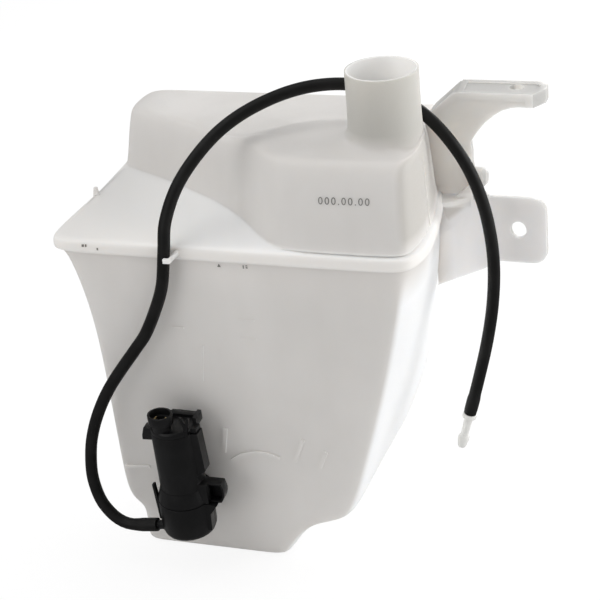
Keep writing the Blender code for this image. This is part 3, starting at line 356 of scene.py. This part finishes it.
def hdpe_material():
    """Milky polyethylene: cloudy, with a fine moulding grain, and with painted light and shade in its colour:
    lighter on the lower right side, the rim band, the shelf tops, the bore and the ear panel, darker on the upper
    right side, the spout, the ear's top and its right-facing faces.
    """
    paint = principled("hdpe_natural_milky", (0.70, 0.68, 0.65), 0.42)
    cloud = paint.noise(16.0, 2.0)
    streak = paint.noise(38.0, 2.0, (1.0, 1.0, 0.25))
    tint = (cloud * 0.6 + streak * 0.4).mapped(0.38, 0.66)
    x, y, z = (paint.axis(i) for i in range(3))
    to_right, to_back, to_top = (paint.facing(i) for i in range(3))
    colour = paint.blend(tint, (0.685, 0.662, 0.638), (0.735, 0.71, 0.685))
    # Painted light: the lower shell's faces turned to the right are made nearly white.
    lit_lower_side = to_right.mapped(0.45, 0.85) * z.mapped(0.21, 0.19)
    colour = paint.blend(lit_lower_side, colour, (0.93, 0.93, 0.925))
    # Painted highlight: the rim band is lighter, for the light its rounded face catches.
    lit_rim_band = z.mapped(LIP_Z - 0.0006, LIP_Z + 0.0006) * z.mapped(RIM_Z + 0.0030, RIM_Z + 0.0012)
    colour = paint.blend(lit_rim_band, colour, (0.81, 0.79, 0.765))
    # Painted light: up-facing shelf tops just above the rim are lighter, most of all towards the right.
    shelf = paint.blend(x.mapped(-0.080, 0.020), (0.78, 0.765, 0.745), (0.98, 0.965, 0.94))
    lit_shelf_tops = to_top.mapped(0.6, 0.98) * z.mapped(RIM_Z - 0.002, RIM_Z) * z.mapped(RIM_Z + 0.009, RIM_Z)
    colour = paint.blend(lit_shelf_tops, colour, shelf)
    # Painted shade: faces above the rim turned to the right are darkened.
    shaded_upper_side = to_right.mapped(0.25, 0.7) * z.mapped(RIM_Z + 0.004, RIM_Z + 0.010)
    colour = paint.blend(shaded_upper_side, colour, (0.54, 0.52, 0.49))
    across, along = x - (NECK_X + TO_FRAME.x), y - (NECK_Y + TO_FRAME.y)
    from_axis = (across * across + along * along).math("SQRT")
    # Painted shade: the neck's outer wall is darker.
    shaded_spout = z.mapped(NECK_BLOCK_Z + 0.002, NECK_BLOCK_Z + 0.010) * from_axis.mapped(0.0245, 0.0225)
    colour = paint.blend(shaded_spout, colour, (0.51, 0.50, 0.47))
    # Painted light: the upper part of the neck's bore, inside, is lighter.
    lit_bore = z.mapped(NECK_TOP_Z - 0.040, NECK_TOP_Z - 0.032) * from_axis.mapped(0.0206, 0.0200)
    colour = paint.blend(lit_bore, colour, (0.84, 0.83, 0.81))
    # Painted light and shade on the ear panel: the lower tab runs from lighter by the tank to darker at its right,
    # and the upper panel is lighter.
    ear = x.mapped(0.1290, 0.1420) * y.mapped(0.0355, 0.0370)
    tab_light_and_shade = paint.blend(x.mapped(0.150, 0.180), (0.87, 0.865, 0.87), (0.745, 0.74, 0.74))
    colour = paint.blend(ear * z.mapped(0.240, 0.215), colour, tab_light_and_shade)
    colour = paint.blend(ear * z.mapped(0.215, 0.240), colour, (0.77, 0.76, 0.74))
    # Painted shade: the pad's top and the ear's faces turned to the right are darker.
    shaded_ear_top = z.mapped(0.268, 0.272) * to_top.mapped(0.4, 0.8)
    colour = paint.blend(ear * shaded_ear_top, colour, (0.52, 0.515, 0.50))
    colour = paint.blend(ear * to_right.mapped(0.3, 0.6), colour, (0.50, 0.495, 0.48))
    paint.set("Base Color", colour)
    grain = paint.noise(700.0, 2.0)
    paint.set("Roughness", (grain * 0.6 + cloud * 0.4).mapped(0.35, 0.65, 0.36, 0.52))
    paint.bump(grain, 0.0001, 0.3)
    paint.set("Subsurface Weight", 0.8)
    paint.set("Subsurface Radius", (1.0, 0.95, 0.9))
    paint.set("Subsurface Scale", 0.005)
    paint.set("Specular IOR Level", 0.35)
    return paint.owner


def drawn(name, corners, filled=True, place=LAYOUT):
    """A circle with as many corners as the outline has, each moved to its own place."""
    bpy.ops.object.select_all(action="DESELECT")
    kind = "NGON" if filled else "NOTHING"
    bpy.ops.mesh.primitive_circle_add(vertices=len(corners), radius=0.01, fill_type=kind)
    piece = bpy.context.object
    piece.name = piece.data.name = name
    for v, at in zip(piece.data.vertices, corners):
        v.co = place @ Vector(at)
    return piece


def edit(piece, *steps):
    """Runs each step in edit mode with the whole piece selected, and turns its faces outwards."""
    bpy.ops.object.select_all(action="DESELECT")
    piece.select_set(True)
    bpy.context.view_layer.objects.active = piece
    bpy.ops.object.mode_set(mode="EDIT")
    bpy.ops.mesh.select_mode(type="FACE" if piece.data.polygons else "VERT")
    bpy.ops.mesh.select_all(action="SELECT")
    for step in steps:
        step()
    bpy.ops.mesh.select_all(action="SELECT")
    bpy.ops.mesh.normals_make_consistent(inside=False)
    bpy.ops.object.mode_set(mode="OBJECT")
    return piece


def finish_modifier(piece, kind, **settings):
    """Adds a modifier and applies it."""
    modifier = piece.modifiers.new(kind, kind)
    for name, setting in settings.items():
        setattr(modifier, name, setting)
    bpy.ops.object.select_all(action="DESELECT")
    piece.select_set(True)
    bpy.context.view_layer.objects.active = piece
    bpy.ops.object.modifier_apply(modifier=modifier.name)


def cut(piece, tool, operation="DIFFERENCE"):
    """Cuts a tool from a piece, or adds it with UNION, and removes the tool."""
    finish_modifier(piece, "BOOLEAN", object=tool, operation=operation, solver="EXACT")
    bpy.data.objects.remove(tool)


def raised(rings):
    """Extrudes the selected cap once for each further ring and moves its corners onto that ring."""
    for before, after in zip(rings, rings[1:]):
        bpy.ops.mesh.extrude_region_move()
        cage = bmesh.from_edit_mesh(bpy.context.object.data)
        for v in [v for v in cage.verts if v.select]:
            nearest = min(range(len(before)), key=lambda i: (LAYOUT @ before[i] - v.co).length)
            v.co = LAYOUT @ after[nearest]
        bmesh.update_edit_mesh(bpy.context.object.data)


def lofted(name, rings, levels, sharp_end=False):
    """Skins a stack of rings and smooths the cage."""
    steps = [lambda: raised(rings)]
    if sharp_end:
        steps.append(lambda: bpy.ops.transform.edge_crease(value=1.0))
    piece = edit(drawn(name, rings[0]), *steps)
    finish_modifier(piece, "SUBSURF", levels=levels, render_levels=levels)
    return piece


HDPE = hdpe_material()
neck = [neck_ring(NECK_RADIUS, NECK_TOP_Z - 0.003), neck_ring(NECK_RADIUS, NECK_TOP_Z)]
outer = [p for p, _ in lower_rings() + band_rings() + upper_rings()] + neck
core = lower_rings() + [(rim_ring(RIM_Z + 0.0005, -0.0060), 1)] + upper_rings()
inner = [inset(p, WALL, -facing * WALL) for p, facing in core]
inner += [neck_ring(NECK_RADIUS - NECK_WALL, NECK_TOP_Z + rise) for rise in (-0.020, 0.002, 0.010)]
tank = lofted("tank_shell", outer, 3, sharp_end=True)
tank.data.materials.clear()
tank.data.materials.append(HDPE)
cut(tank, lofted("tank_cavity", inner, 2))

# Ears: two flat mounting ears moulded to the tank's right side as one upright panel. The upper one ends in a
# recessed pad with a bolt hole and a deep right end, and a ramp, a ledge, a knob and a thin shelf stiffen it.
# The lower one is a tab with a tall hole. Outlines are drawn, extruded and joined, and the edges are bevelled.
EAR_Y = 0.095
EAR_THICKNESS = 0.004
PAD_TOP = 0.2862


def arc_points(centre, radius, start, end, steps):
    angles = [math.radians(start + (end - start) * i / steps) for i in range(steps + 1)]
    return [(centre[0] + radius * math.cos(a), centre[1] + radius * math.sin(a)) for a in angles]


def ellipse(centre, half, steps=32):
    angles = [2 * math.pi * i / steps for i in range(steps)]
    return [(centre[0] + half[0] * math.cos(a), centre[1] + half[1] * math.sin(a)) for a in angles]


def plate(outline, low, high, upright_plane=False):
    """An outline in X and Y, or in X and Z, extruded from low to high along the third axis."""

    def corner_at(a, b, height):
        return (a, height, b) if upright_plane else (a, b, height)

    step = Vector(corner_at(0, 0, high - low))
    piece = drawn("plate", [corner_at(a, b, low) for a, b in outline])
    return edit(piece, lambda: bpy.ops.mesh.extrude_region_move(TRANSFORM_OT_translate={"value": step}))


def hull(points):
    """The smallest convex solid round the points."""
    return edit(drawn("hull", points, filled=False), lambda: bpy.ops.mesh.convex_hull())


def rounded(piece, width, segments=2):
    settings = {"limit_method": "ANGLE", "angle_limit": math.radians(30)}
    finish_modifier(piece, "BEVEL", width=width, segments=segments, **settings)


def round_bar(radius, length, sides, place):
    """A cylinder whose axis starts at the place's origin and runs along its Z."""
    bpy.ops.object.select_all(action="DESELECT")
    bpy.ops.mesh.primitive_cylinder_add(vertices=sides, radius=radius, depth=length)
    piece = bpy.context.object
    piece.data.transform(place @ Matrix.Translation((0, 0, length / 2)))
    return piece


tab_top = arc_points((0.2010, 0.2115), 0.0085, 90, 0, 8)
tab_bottom = arc_points((0.2010, 0.1860), 0.0085, 0, -90, 8)
panel = [(0.1360, 0.2600), (0.1370, 0.2655), (0.1406, 0.2698), (0.1570, 0.2842), (0.2034, PAD_TOP - 0.0015)]
panel += [(0.2032, 0.2790), (0.2020, 0.2780), (0.2007, 0.2773), (0.1950, 0.2774), (0.1901, 0.2767), (0.1850, 0.2750)]
panel += [(0.1802, 0.2719), (0.1746, 0.2670), (0.1698, 0.2612), (0.1657, 0.2546), (0.1662, 0.2480), (0.1660, 0.2419)]
panel += [(0.1668, 0.2350), (0.1705, 0.2235), (0.1750, 0.2200)] + tab_top + tab_bottom
panel += [(0.1803, 0.1776), (0.1700, 0.1716), (0.1405, 0.1583), (0.1405, 0.1900), (0.1440, 0.2100), (0.1405, 0.2250)]
ear = plate(panel, EAR_Y, EAR_Y + EAR_THICKNESS, True)
pad = [(0.1590, 0.0938), (0.2037, 0.0936), (0.2093, 0.1030), (0.2093, 0.1113), (0.2037, 0.1158), (0.1576, 0.1148)]
cut(ear, plate(pad, PAD_TOP - 0.0046, PAD_TOP), "UNION")
pad_end = [(0.1990, 0.0936)] + pad[1:5] + [(0.1990, 0.1157)]
cut(ear, plate(pad_end, PAD_TOP - 0.0084, PAD_TOP - 0.0020), "UNION")
ramp = [(0.1600, PAD_TOP - 0.0003), (0.1560, 0.2852), (0.1406, 0.2712), (0.1365, 0.2662)]
ramp += [(0.1370, 0.2622), (0.1430, 0.2678), (0.1610, 0.2822)]
cut(ear, plate(ramp, 0.0947, 0.1146, True), "UNION")
rounded(ear, 0.0009, 3)
pocket = [(0.1625, 0.0962), (0.2015, 0.0960), (0.2055, 0.1035), (0.2055, 0.1095), (0.2020, 0.1122), (0.1612, 0.1115)]
cut(ear, plate(pocket, PAD_TOP - 0.0008, PAD_TOP + 0.010))
ledge = [(0.1494, 0.0885, 0.2144), (0.1601, 0.0885, 0.2250), (0.1659, 0.0885, 0.2300)]
ledge += [(x, 0.0962, z) for x, z in ((0.1474, 0.2120), (0.1581, 0.2228), (0.1639, 0.2278), (0.1667, 0.2078))]
ledge += [(x, 0.0962, z) for x, z in ((0.1592, 0.2053), (0.1513, 0.1948), (0.1477, 0.1976))]
cut(ear, hull(ledge), "UNION")
slope = [(x, y, z) for x, z in ((0.1380, 0.1849), (0.1395, 0.1570), (0.1477, 0.1950)) for y in (0.0930, 0.0970)]
slope += [(x, y, z) for x, z in ((0.1500, 0.1725), (0.1596, 0.2040)) for y in (0.0930, 0.0950)]
cut(ear, hull(slope))
knob_at = LAYOUT @ Matrix.Translation((0.1640, EAR_Y + 0.0025, 0.2315)) @ Matrix.Rotation(math.pi / 2, 4, "Y")
knob = round_bar(0.0060, 0.0102, 32, knob_at)


def chamfer_end():
    """Bevels the rim of the knob's free end."""
    cage = bmesh.from_edit_mesh(knob.data)
    for face in cage.faces:
        face.select_set(False)
    for face in cage.faces:
        face.select_set(face.normal.x > 0.9)
    bmesh.update_edit_mesh(knob.data)
    bpy.ops.mesh.bevel(offset=0.0024, segments=1)


cut(ear, edit(knob, chamfer_end), "UNION")
shelf = [(0.1472, 0.0800), (0.1560, 0.0830), (0.1680, EAR_Y + 0.001), (0.1450, EAR_Y + 0.001)]
cut(ear, plate(shelf, RIM_Z - 0.0042, RIM_Z - 0.0015), "UNION")
cut(tank, ear, "UNION")
cut(tank, plate(ellipse((0.1915, 0.107), (0.0045, 0.0045)), 0.270, 0.300))
cut(tank, plate(ellipse((0.1925, 0.199), (0.0047, 0.0055), 40), 0.085, 0.115, True))

# Fin and hose clip: a small locating fin stands on the band's left end, and a short finger reaches out from
# the band's front to hold the hose. Both are moulded with the tank, and so they are joined to it.
fin = [(-0.0690, RIM_Z - 0.003), (-0.0640, RIM_Z - 0.003), (-0.0652, RIM_Z + 0.006), (-0.0672, RIM_Z + 0.006)]
cut(tank, plate(fin, 0.0600, 0.0618, True), "UNION")
reach = front_y(RIM_Z) - 0.0139
clip = [(0.0119, -0.0020), (0.0119, reach + 0.0025), (0.0090, reach + 0.0025), (0.0090, reach)]
clip += [(0.0134, reach), (0.0142, -0.0020)]
finger = plate(clip, RIM_Z - 0.0046, RIM_Z - 0.0018)
rounded(finger, 0.0004)
cut(tank, finger, "UNION")

# Front wall: shallow ribs and steps are moulded into the lower front, and a round hole takes the pump's grommet.
# The ribs are drawn flat, extruded, leaned against the drafted face and joined to it. The right side of the
# shoulder has a shallow upright groove, and its back corner a low block.
PUMP_AT = Vector((0.0010, -0.0085, 0.0304))
PUMP_FRAME = Matrix.Translation(TO_FRAME + PUMP_AT) @ Matrix.Rotation(FRONT_DRAFT, 4, "X")


def ridge(line, half, proud):
    """A low rib along a line on the front face."""
    line = [Vector(p) for p in line]
    sides = []
    for i, p in enumerate(line):
        along = (line[min(i + 1, len(line) - 1)] - line[max(i - 1, 0)]).normalized() * half
        sides.append((p + Vector((-along.y, along.x)), p - Vector((-along.y, along.x))))
    outline = [a for a, _ in sides] + [b for _, b in reversed(sides)]
    rib = plate([tuple(p) for p in outline], -proud, 0.0010, True)
    for v in rib.data.vertices:
        v.co.y += front_y(v.co.z)
    return rib


def together(pieces):
    """One object from several that don't touch."""
    bpy.ops.object.select_all(action="DESELECT")
    for piece in pieces:
        piece.select_set(True)
    bpy.context.view_layer.objects.active = pieces[0]
    bpy.ops.object.join()
    return pieces[0]


FRONT_RIBS = [
    ([(-0.0472, 0.0584), (-0.0385, 0.0590), (-0.0303, 0.0600)], 0.0010, 0.0009),
    ([(0.0268, 0.0718), (0.0340, 0.0768), (0.0430, 0.0797), (0.0510, 0.0796), (0.0590, 0.0771)], 0.0010, 0.0009),
    ([(0.0258, 0.0957), (0.0222, 0.0775)], 0.0015, 0.0010),
    ([(0.0756, 0.0925), (0.0685, 0.0753)], 0.0012, 0.0007),
    ([(0.0895, 0.0852), (0.0843, 0.0727)], 0.0012, 0.0006),
    ([(0.0189, 0.1552), (0.0152, 0.1298)], 0.0012, 0.0005),
    ([(0.0012, 0.1665), (0.0090, 0.1665)], 0.0006, 0.0005),
    ([(0.0440, 0.1750), (0.0547, 0.1752)], 0.0004, 0.0003),
    ([(0.0438, 0.1625), (0.0545, 0.1627)], 0.0004, 0.0003),
]
cut(tank, together([ridge(*entry) for entry in FRONT_RIBS]), "UNION")
to_back = Matrix.Rotation(-math.pi / 2, 4, "X")
cut(tank, round_bar(0.010, 0.024, 64, PUMP_FRAME @ Matrix.Translation((0, 0.010, 0.0165)) @ to_back))
groove = [(0.1527, 0.034, 0.2235), (0.1600, 0.033, 0.2235), (0.1522, 0.043, 0.2235), (0.1600, 0.044, 0.2235)]
groove += [(0.1510, 0.036, 0.2660), (0.1600, 0.035, 0.2700), (0.1504, 0.044, 0.2660), (0.1600, 0.045, 0.2700)]
cut(tank, hull(groove))
back_step = [(0.1130, 0.1410, 0.2590), (0.1320, 0.1440, 0.2590), (0.1360, 0.1200, 0.2590), (0.1392, 0.1000, 0.2590)]
back_step += [(0.1330, 0.1000, 0.2590), (0.1150, 0.1410, 0.2230), (0.1265, 0.1440, 0.2230), (0.1370, 0.1220, 0.2230)]
back_step += [(0.1430, 0.1000, 0.2230), (0.1370, 0.1000, 0.2230)]
corner_block = hull(back_step)
rounded(corner_block, 0.0022, 3)
cut(tank, corner_block, "UNION")
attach(tank, "reservoir")
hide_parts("tank")
tank.data.shade_smooth()
tank.data.set_sharp_from_angle(angle=math.radians(40))

# Marks: a faint date stamp of plain zeros on the neck block's front and a few small mould marks near the band,
# in grey ink. They are flat and lie just off the wall, each point laid on it from the front.


def black_material(name, colour, low, high, scale=700.0, specular=0.3):
    """Dark plastic, rubber or ink: a fine grain over slow changes of tone and gloss."""
    paint = principled(name, colour, 0.4)
    grain = paint.noise(scale, 2.0)
    wide = paint.noise(60.0, 2.0)
    paint.set("Roughness", (grain * 0.5 + wide * 0.5).mapped(0.35, 0.65, low, high))
    pale = tuple(c * 1.6 + 0.002 for c in colour)
    paint.set("Base Color", paint.blend(wide.mapped(0.45, 0.8), colour, pale))
    paint.bump(grain, 0.00008, 0.3)
    paint.set("Specular IOR Level", specular)
    return paint.owner


INK = black_material("ink_grey", (0.19, 0.185, 0.175), 0.6, 0.75, 1400.0)
INK_LIFT = 0.00012


def printed(piece, name):
    """Ink in X and Z, laid on the tank's front."""
    wall = BVHTree.FromObject(tank, bpy.context.evaluated_depsgraph_get())
    for v in piece.data.vertices:
        hit = wall.ray_cast(Vector((v.co.x, -0.2, v.co.z)), Vector((0, 1, 0)))[0]
        v.co.y = hit.y - INK_LIFT
    edit(piece)
    piece.name = name
    piece.data.materials.append(INK)
    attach(piece, "reservoir")


DIGITS_AT = (0.0992, 0.2508)
DIGITS_LEAN = 0.02
bpy.ops.object.select_all(action="DESELECT")
bpy.ops.object.text_add()
digits = bpy.context.object
digits.data.body = "000.00.00"
digits.data.size = 0.0060
digits.data.space_character = 1.28
bpy.ops.object.convert(target="MESH")
digits = bpy.context.object
for v in digits.data.vertices:
    x, z = v.co.x, v.co.y
    v.co = TO_FRAME + Vector((DIGITS_AT[0] + x, 0, DIGITS_AT[1] + z + x * DIGITS_LEAN))
printed(digits, "date_stamp")
MARKS = [
    [(-0.0478, 0.2185), (-0.0462, 0.2187), (-0.0462, 0.2202), (-0.0478, 0.2200)],
    [(-0.0456, 0.2186), (-0.0446, 0.2187), (-0.0446, 0.2203), (-0.0456, 0.2202)],
    [(-0.0382, 0.2170), (-0.0372, 0.2170), (-0.0372, 0.2186), (-0.0382, 0.2185)],
    [(0.0362, 0.2100), (0.0384, 0.2100), (0.0373, 0.2122)],
    [(0.0520, 0.2100), (0.0528, 0.2100), (0.0528, 0.2122), (0.0520, 0.2122)],
    [(0.0538, 0.2102), (0.0550, 0.2102), (0.0550, 0.2112), (0.0538, 0.2112)],
    [(0.0538, 0.2116), (0.0550, 0.2116), (0.0550, 0.2123), (0.0538, 0.2123)],
]
printed(together([drawn("mark", [(x, 0, z) for x, z in outline]) for outline in MARKS]), "mould_marks")

# Pump: an electric washer pump in black plastic low on the front wall, with its motor, magnets and brushes
# inside. The CAD nodes are kept, welded and given a small edge radius. A sloped collar, spun from its
# profile, covers the joint between housing and base cover.
BLACK = black_material("plastic_black_satin", (0.0035, 0.0035, 0.0038), 0.3, 0.42)
RUBBER = black_material("rubber_black_satin", (0.006, 0.0058, 0.0055), 0.42, 0.58, 500.0, 0.22)
CARBON = black_material("graphite_grey", (0.03, 0.03, 0.03), 0.55, 0.7)
FERRITE = black_material("ferrite_grey", (0.05, 0.05, 0.055), 0.5, 0.7)
WHITE = principled("plastic_white_natural", (0.72, 0.715, 0.69), 0.38).owner


def metal_material(name, colour, roughness, stretch=(1.0, 1.0, 1.0)):
    paint = principled(name, colour, roughness, 1.0)
    streaks = paint.noise(260.0, 3.0, stretch)
    paint.set("Roughness", streaks.mapped(0.3, 0.7, roughness - 0.08, roughness + 0.1))
    paint.bump(streaks, 0.00005, 0.2)
    return paint.owner


BY_SLOT = {
    "hdpe_natural": HDPE,
    "plastic_black": BLACK,
    "rubber_black": RUBBER,
    "plastic_white": WHITE,
    "steel_plated": metal_material("steel_zinc_plated", (0.56, 0.56, 0.55), 0.36),
    "brass": metal_material("brass_plain", (0.72, 0.55, 0.28), 0.34),
    "copper_enamelled": metal_material("copper_enamel", (0.58, 0.23, 0.10), 0.4, (1.0, 1.0, 9.0)),
    "bronze_sintered": metal_material("bronze_porous", (0.48, 0.32, 0.18), 0.5),
    "carbon": CARBON,
    "ferrite": FERRITE,
}
for entry in frame["record"]["subparts"]:
    node = nodes[entry["node"]]
    node.data.materials.clear()
    node.data.materials.append(BY_SLOT[entry["material_slot"]])


def soften(piece, width):
    """Welds a CAD node's loose triangles, rounds its sharp edges and shades it smooth."""
    piece.modifiers.new("weld", "WELD").merge_threshold = 1e-6
    bevel = piece.modifiers.new("soft_edges", "BEVEL")
    bevel.width = width
    bevel.segments = 2
    bevel.limit_method = "ANGLE"
    bevel.angle_limit = math.radians(35)
    bevel.harden_normals = True
    piece.data.shade_smooth()


for name in ("pump_base_cover", "pump_housing", "pump_end_cap"):
    soften(nodes[name], 0.0003)
COLLAR = [(0.0138, 0.0250), (0.0167, 0.0250), (0.0166, 0.0268), (0.01435, 0.0345), (0.0138, 0.0345)]
collar = drawn("pump_collar", [(r, 0, h) for r, h in COLLAR], filled=False, place=Matrix())
edit(
    collar,
    lambda: bpy.ops.mesh.spin(steps=96, angle=2 * math.pi, center=(0, 0, 0), axis=(0, 0, 1)),
    lambda: bpy.ops.mesh.select_all(action="SELECT"),
    lambda: bpy.ops.mesh.remove_doubles(threshold=1e-6),
)
collar.data.transform(PUMP_FRAME)
collar.data.materials.append(BLACK)
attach(collar, "reservoir")
collar.data.shade_smooth()
collar.data.set_sharp_from_angle(angle=math.radians(30))

# Hose and fitting: a black rubber hose of 7.5 mm runs from the pump's outlet up past the clip, behind the neck
# and down on the right, and ends in a white push-in fitting. Its ends are swollen where they are pushed on.
# It is a curve along its route made a tube, and the fitting is the CAD node with softened edges.
HOSE_RADIUS = 0.00375
HOSE_ROUTE = [
    (-0.0184, -0.0148, 0.0335),
    (-0.0269, -0.0148, 0.0323),
    (-0.0330, -0.0147, 0.0315),
    (-0.0388, -0.0145, 0.0314),
    (-0.0450, -0.0142, 0.0334),
    (-0.0511, -0.0138, 0.0384),
    (-0.0570, -0.0130, 0.0475),
    (-0.0604, -0.0118, 0.0630),
    (-0.0591, -0.0108, 0.0812),
    (-0.0556, -0.0100, 0.0956),
    (-0.0496, -0.0095, 0.1103),
    (-0.0416, -0.0090, 0.1250),
    (-0.0311, -0.0090, 0.1400),
    (-0.0198, -0.0090, 0.1548),
    (-0.0097, -0.0090, 0.1692),
    (0.0026, -0.0090, 0.1967),
    (0.0075, -0.0090, 0.2220),
    (0.0090, -0.0045, 0.2395),
    (0.0146, 0.0080, 0.2580),
    (0.0268, 0.0240, 0.2753),
    (0.0410, 0.0390, 0.2866),
    (0.0588, 0.0560, 0.2933),
    (0.0781, 0.0680, 0.2965),
    (0.0995, 0.0760, 0.2956),
    (0.1202, 0.0780, 0.2902),
    (0.1349, 0.0750, 0.2856),
    (0.1513, 0.0692, 0.2761),
    (0.1656, 0.0672, 0.2588),
    (0.1743, 0.0682, 0.2396),
    (0.1801, 0.0690, 0.2169),
    (0.1825, 0.0700, 0.1906),
    (0.1812, 0.0700, 0.1639),
    (0.1770, 0.0690, 0.1369),
    (0.1705, 0.0680, 0.1090),
    (0.1644, 0.0670, 0.0855),
]


def smooth_route(points, step):
    """Points at even steps along a smooth curve through the route's own points."""
    path = [Vector(p) for p in points]
    fine = []
    for i in range(len(path) - 1):
        p0 = path[i - 1] if i else 2 * path[0] - path[1]
        p1, p2 = path[i], path[i + 1]
        p3 = path[i + 2] if i + 2 < len(path) else 2 * path[-1] - path[-2]
        for k in range(12):
            t = k / 12
            bend = (2 * p0 - 5 * p1 + 4 * p2 - p3) * t**2 + (3 * p1 - p0 - 3 * p2 + p3) * t**3
            fine.append(0.5 * (2 * p1 + (p2 - p0) * t + bend))
    fine.append(path[-1])
    lengths = [0.0]
    for a, b in zip(fine, fine[1:]):
        lengths.append(lengths[-1] + (b - a).length)
    count = round(lengths[-1] / step)
    even, k = [], 0
    for i in range(count + 1):
        want = lengths[-1] * i / count
        while k < len(fine) - 2 and lengths[k + 1] < want:
            k += 1
        even.append(fine[k].lerp(fine[k + 1], (want - lengths[k]) / (lengths[k + 1] - lengths[k])))
    return even


hose_line = [p + TO_FRAME for p in smooth_route(HOSE_ROUTE, 0.0035)]
curve = bpy.data.curves.new("drawn_hose", "CURVE")
curve.dimensions = "3D"
curve.bevel_depth = HOSE_RADIUS
curve.bevel_resolution = 5
curve.use_fill_caps = True
spline = curve.splines.new("POLY")
spline.points.add(len(hose_line) - 1)
SWELLING_AT_PUMP = (1.15, 1.15, 1.15, 1.15, 1.07)
SWELLING_AT_FITTING = (1.04, 1.10, 1.10, 1.10)
for knot, place in zip(spline.points, hose_line):
    knot.co = (*place, 1.0)
for knot, swelling in zip(spline.points, SWELLING_AT_PUMP):
    knot.radius = swelling
for knot, swelling in zip(reversed(spline.points[:]), SWELLING_AT_FITTING):
    knot.radius = swelling
drawn_hose = bpy.data.objects.new("drawn_hose", curve)
bpy.context.scene.collection.objects.link(drawn_hose)
tube = bpy.data.meshes.new_from_object(drawn_hose.evaluated_get(bpy.context.evaluated_depsgraph_get()))
bpy.data.objects.remove(drawn_hose)
hose = bpy.data.objects.new("washer_hose", tube)
hose.data.shade_smooth()
hose.data.materials.append(RUBBER)
bpy.context.scene.collection.objects.link(hose)
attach(hose, "reservoir")
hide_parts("hose")
hose_length = sum((b - a).length for a, b in zip(hose_line, hose_line[1:]))
soften(nodes["hose_fitting"], 0.0002)

# Floor, backdrop and light: a white studio floor that keeps a weak shadow and is mostly its own white to the
# camera, a white world that is dimmer in reflections, and four soft lamps, the strongest low on the right.
bpy.ops.object.select_all(action="DESELECT")
bpy.ops.mesh.primitive_plane_add(size=12, location=(0, 0, -0.0002))
floor = bpy.context.object
floor.name = "floor"
WHITE_LIGHT = (1, 1, 1)
floor_paint = principled("floor_white", (0.88, 0.88, 0.88), 0.9)
diffuse = Value(floor_paint, floor_paint.tree.nodes["Principled BSDF"].outputs[0])
glow = floor_paint.node("ShaderNodeEmission", inputs={"Color": WHITE_LIGHT, "Strength": 1.04})
dim = floor_paint.node("ShaderNodeEmission", inputs={"Color": WHITE_LIGHT, "Strength": 0.25})
to_camera = floor_paint.node("ShaderNodeLightPath", output="Is Camera Ray") * 0.82
in_mirror = floor_paint.node("ShaderNodeLightPath", output="Is Glossy Ray")
seen_floor = floor_paint.node("ShaderNodeMixShader", inputs={0: to_camera, 1: diffuse, 2: glow})
seen_floor = floor_paint.node("ShaderNodeMixShader", inputs={0: in_mirror, 1: seen_floor, 2: dim})
floor_paint.plug(floor_paint.tree.nodes["Material Output"].inputs[0], seen_floor)
floor.data.materials.append(floor_paint.owner)

bpy.context.scene.world = bpy.data.worlds.new("studio")
world = Paint(bpy.context.scene.world)
world.tree.nodes.clear()
ambient = world.node("ShaderNodeBackground", inputs={"Color": WHITE_LIGHT, "Strength": 0.5})
backdrop = world.node("ShaderNodeBackground", inputs={"Color": WHITE_LIGHT, "Strength": 1.0})
dim = world.node("ShaderNodeBackground", inputs={"Color": WHITE_LIGHT, "Strength": 0.2})
to_camera = world.node("ShaderNodeLightPath", output="Is Camera Ray")
in_mirror = world.node("ShaderNodeLightPath", output="Is Glossy Ray")
seen_world = world.node("ShaderNodeMixShader", inputs={0: to_camera, 1: ambient, 2: backdrop})
seen_world = world.node("ShaderNodeMixShader", inputs={0: in_mirror, 1: seen_world, 2: dim})
world.plug(world.tree.nodes.new("ShaderNodeOutputWorld").inputs[0], seen_world)


def softbox(name, place, target, size, power):
    light = bpy.data.lights.new(name, "AREA")
    light.shape = "SQUARE"
    light.size = size
    light.energy = power
    lamp = bpy.data.objects.new(name, light)
    lamp.location = place
    lamp.rotation_euler = (Vector(target) - Vector(place)).to_track_quat("-Z", "Y").to_euler()
    bpy.context.scene.collection.objects.link(lamp)


softbox("key_right", (1.5, 0.30, 0.45), (0.05, 0.0, 0.15), 1.2, 16)
softbox("top_fill", (-0.5, -0.2, 1.6), (0.0, 0.0, 0.15), 1.6, 10)
softbox("front_fill", (-0.7, -1.5, 0.7), (0.0, 0.0, 0.12), 1.2, 5)
softbox("back_light", (0.5, 1.5, 0.6), (0.08, 0.0, 0.2), 1.2, 16)

bpy.context.scene.view_settings.view_transform = "Standard"
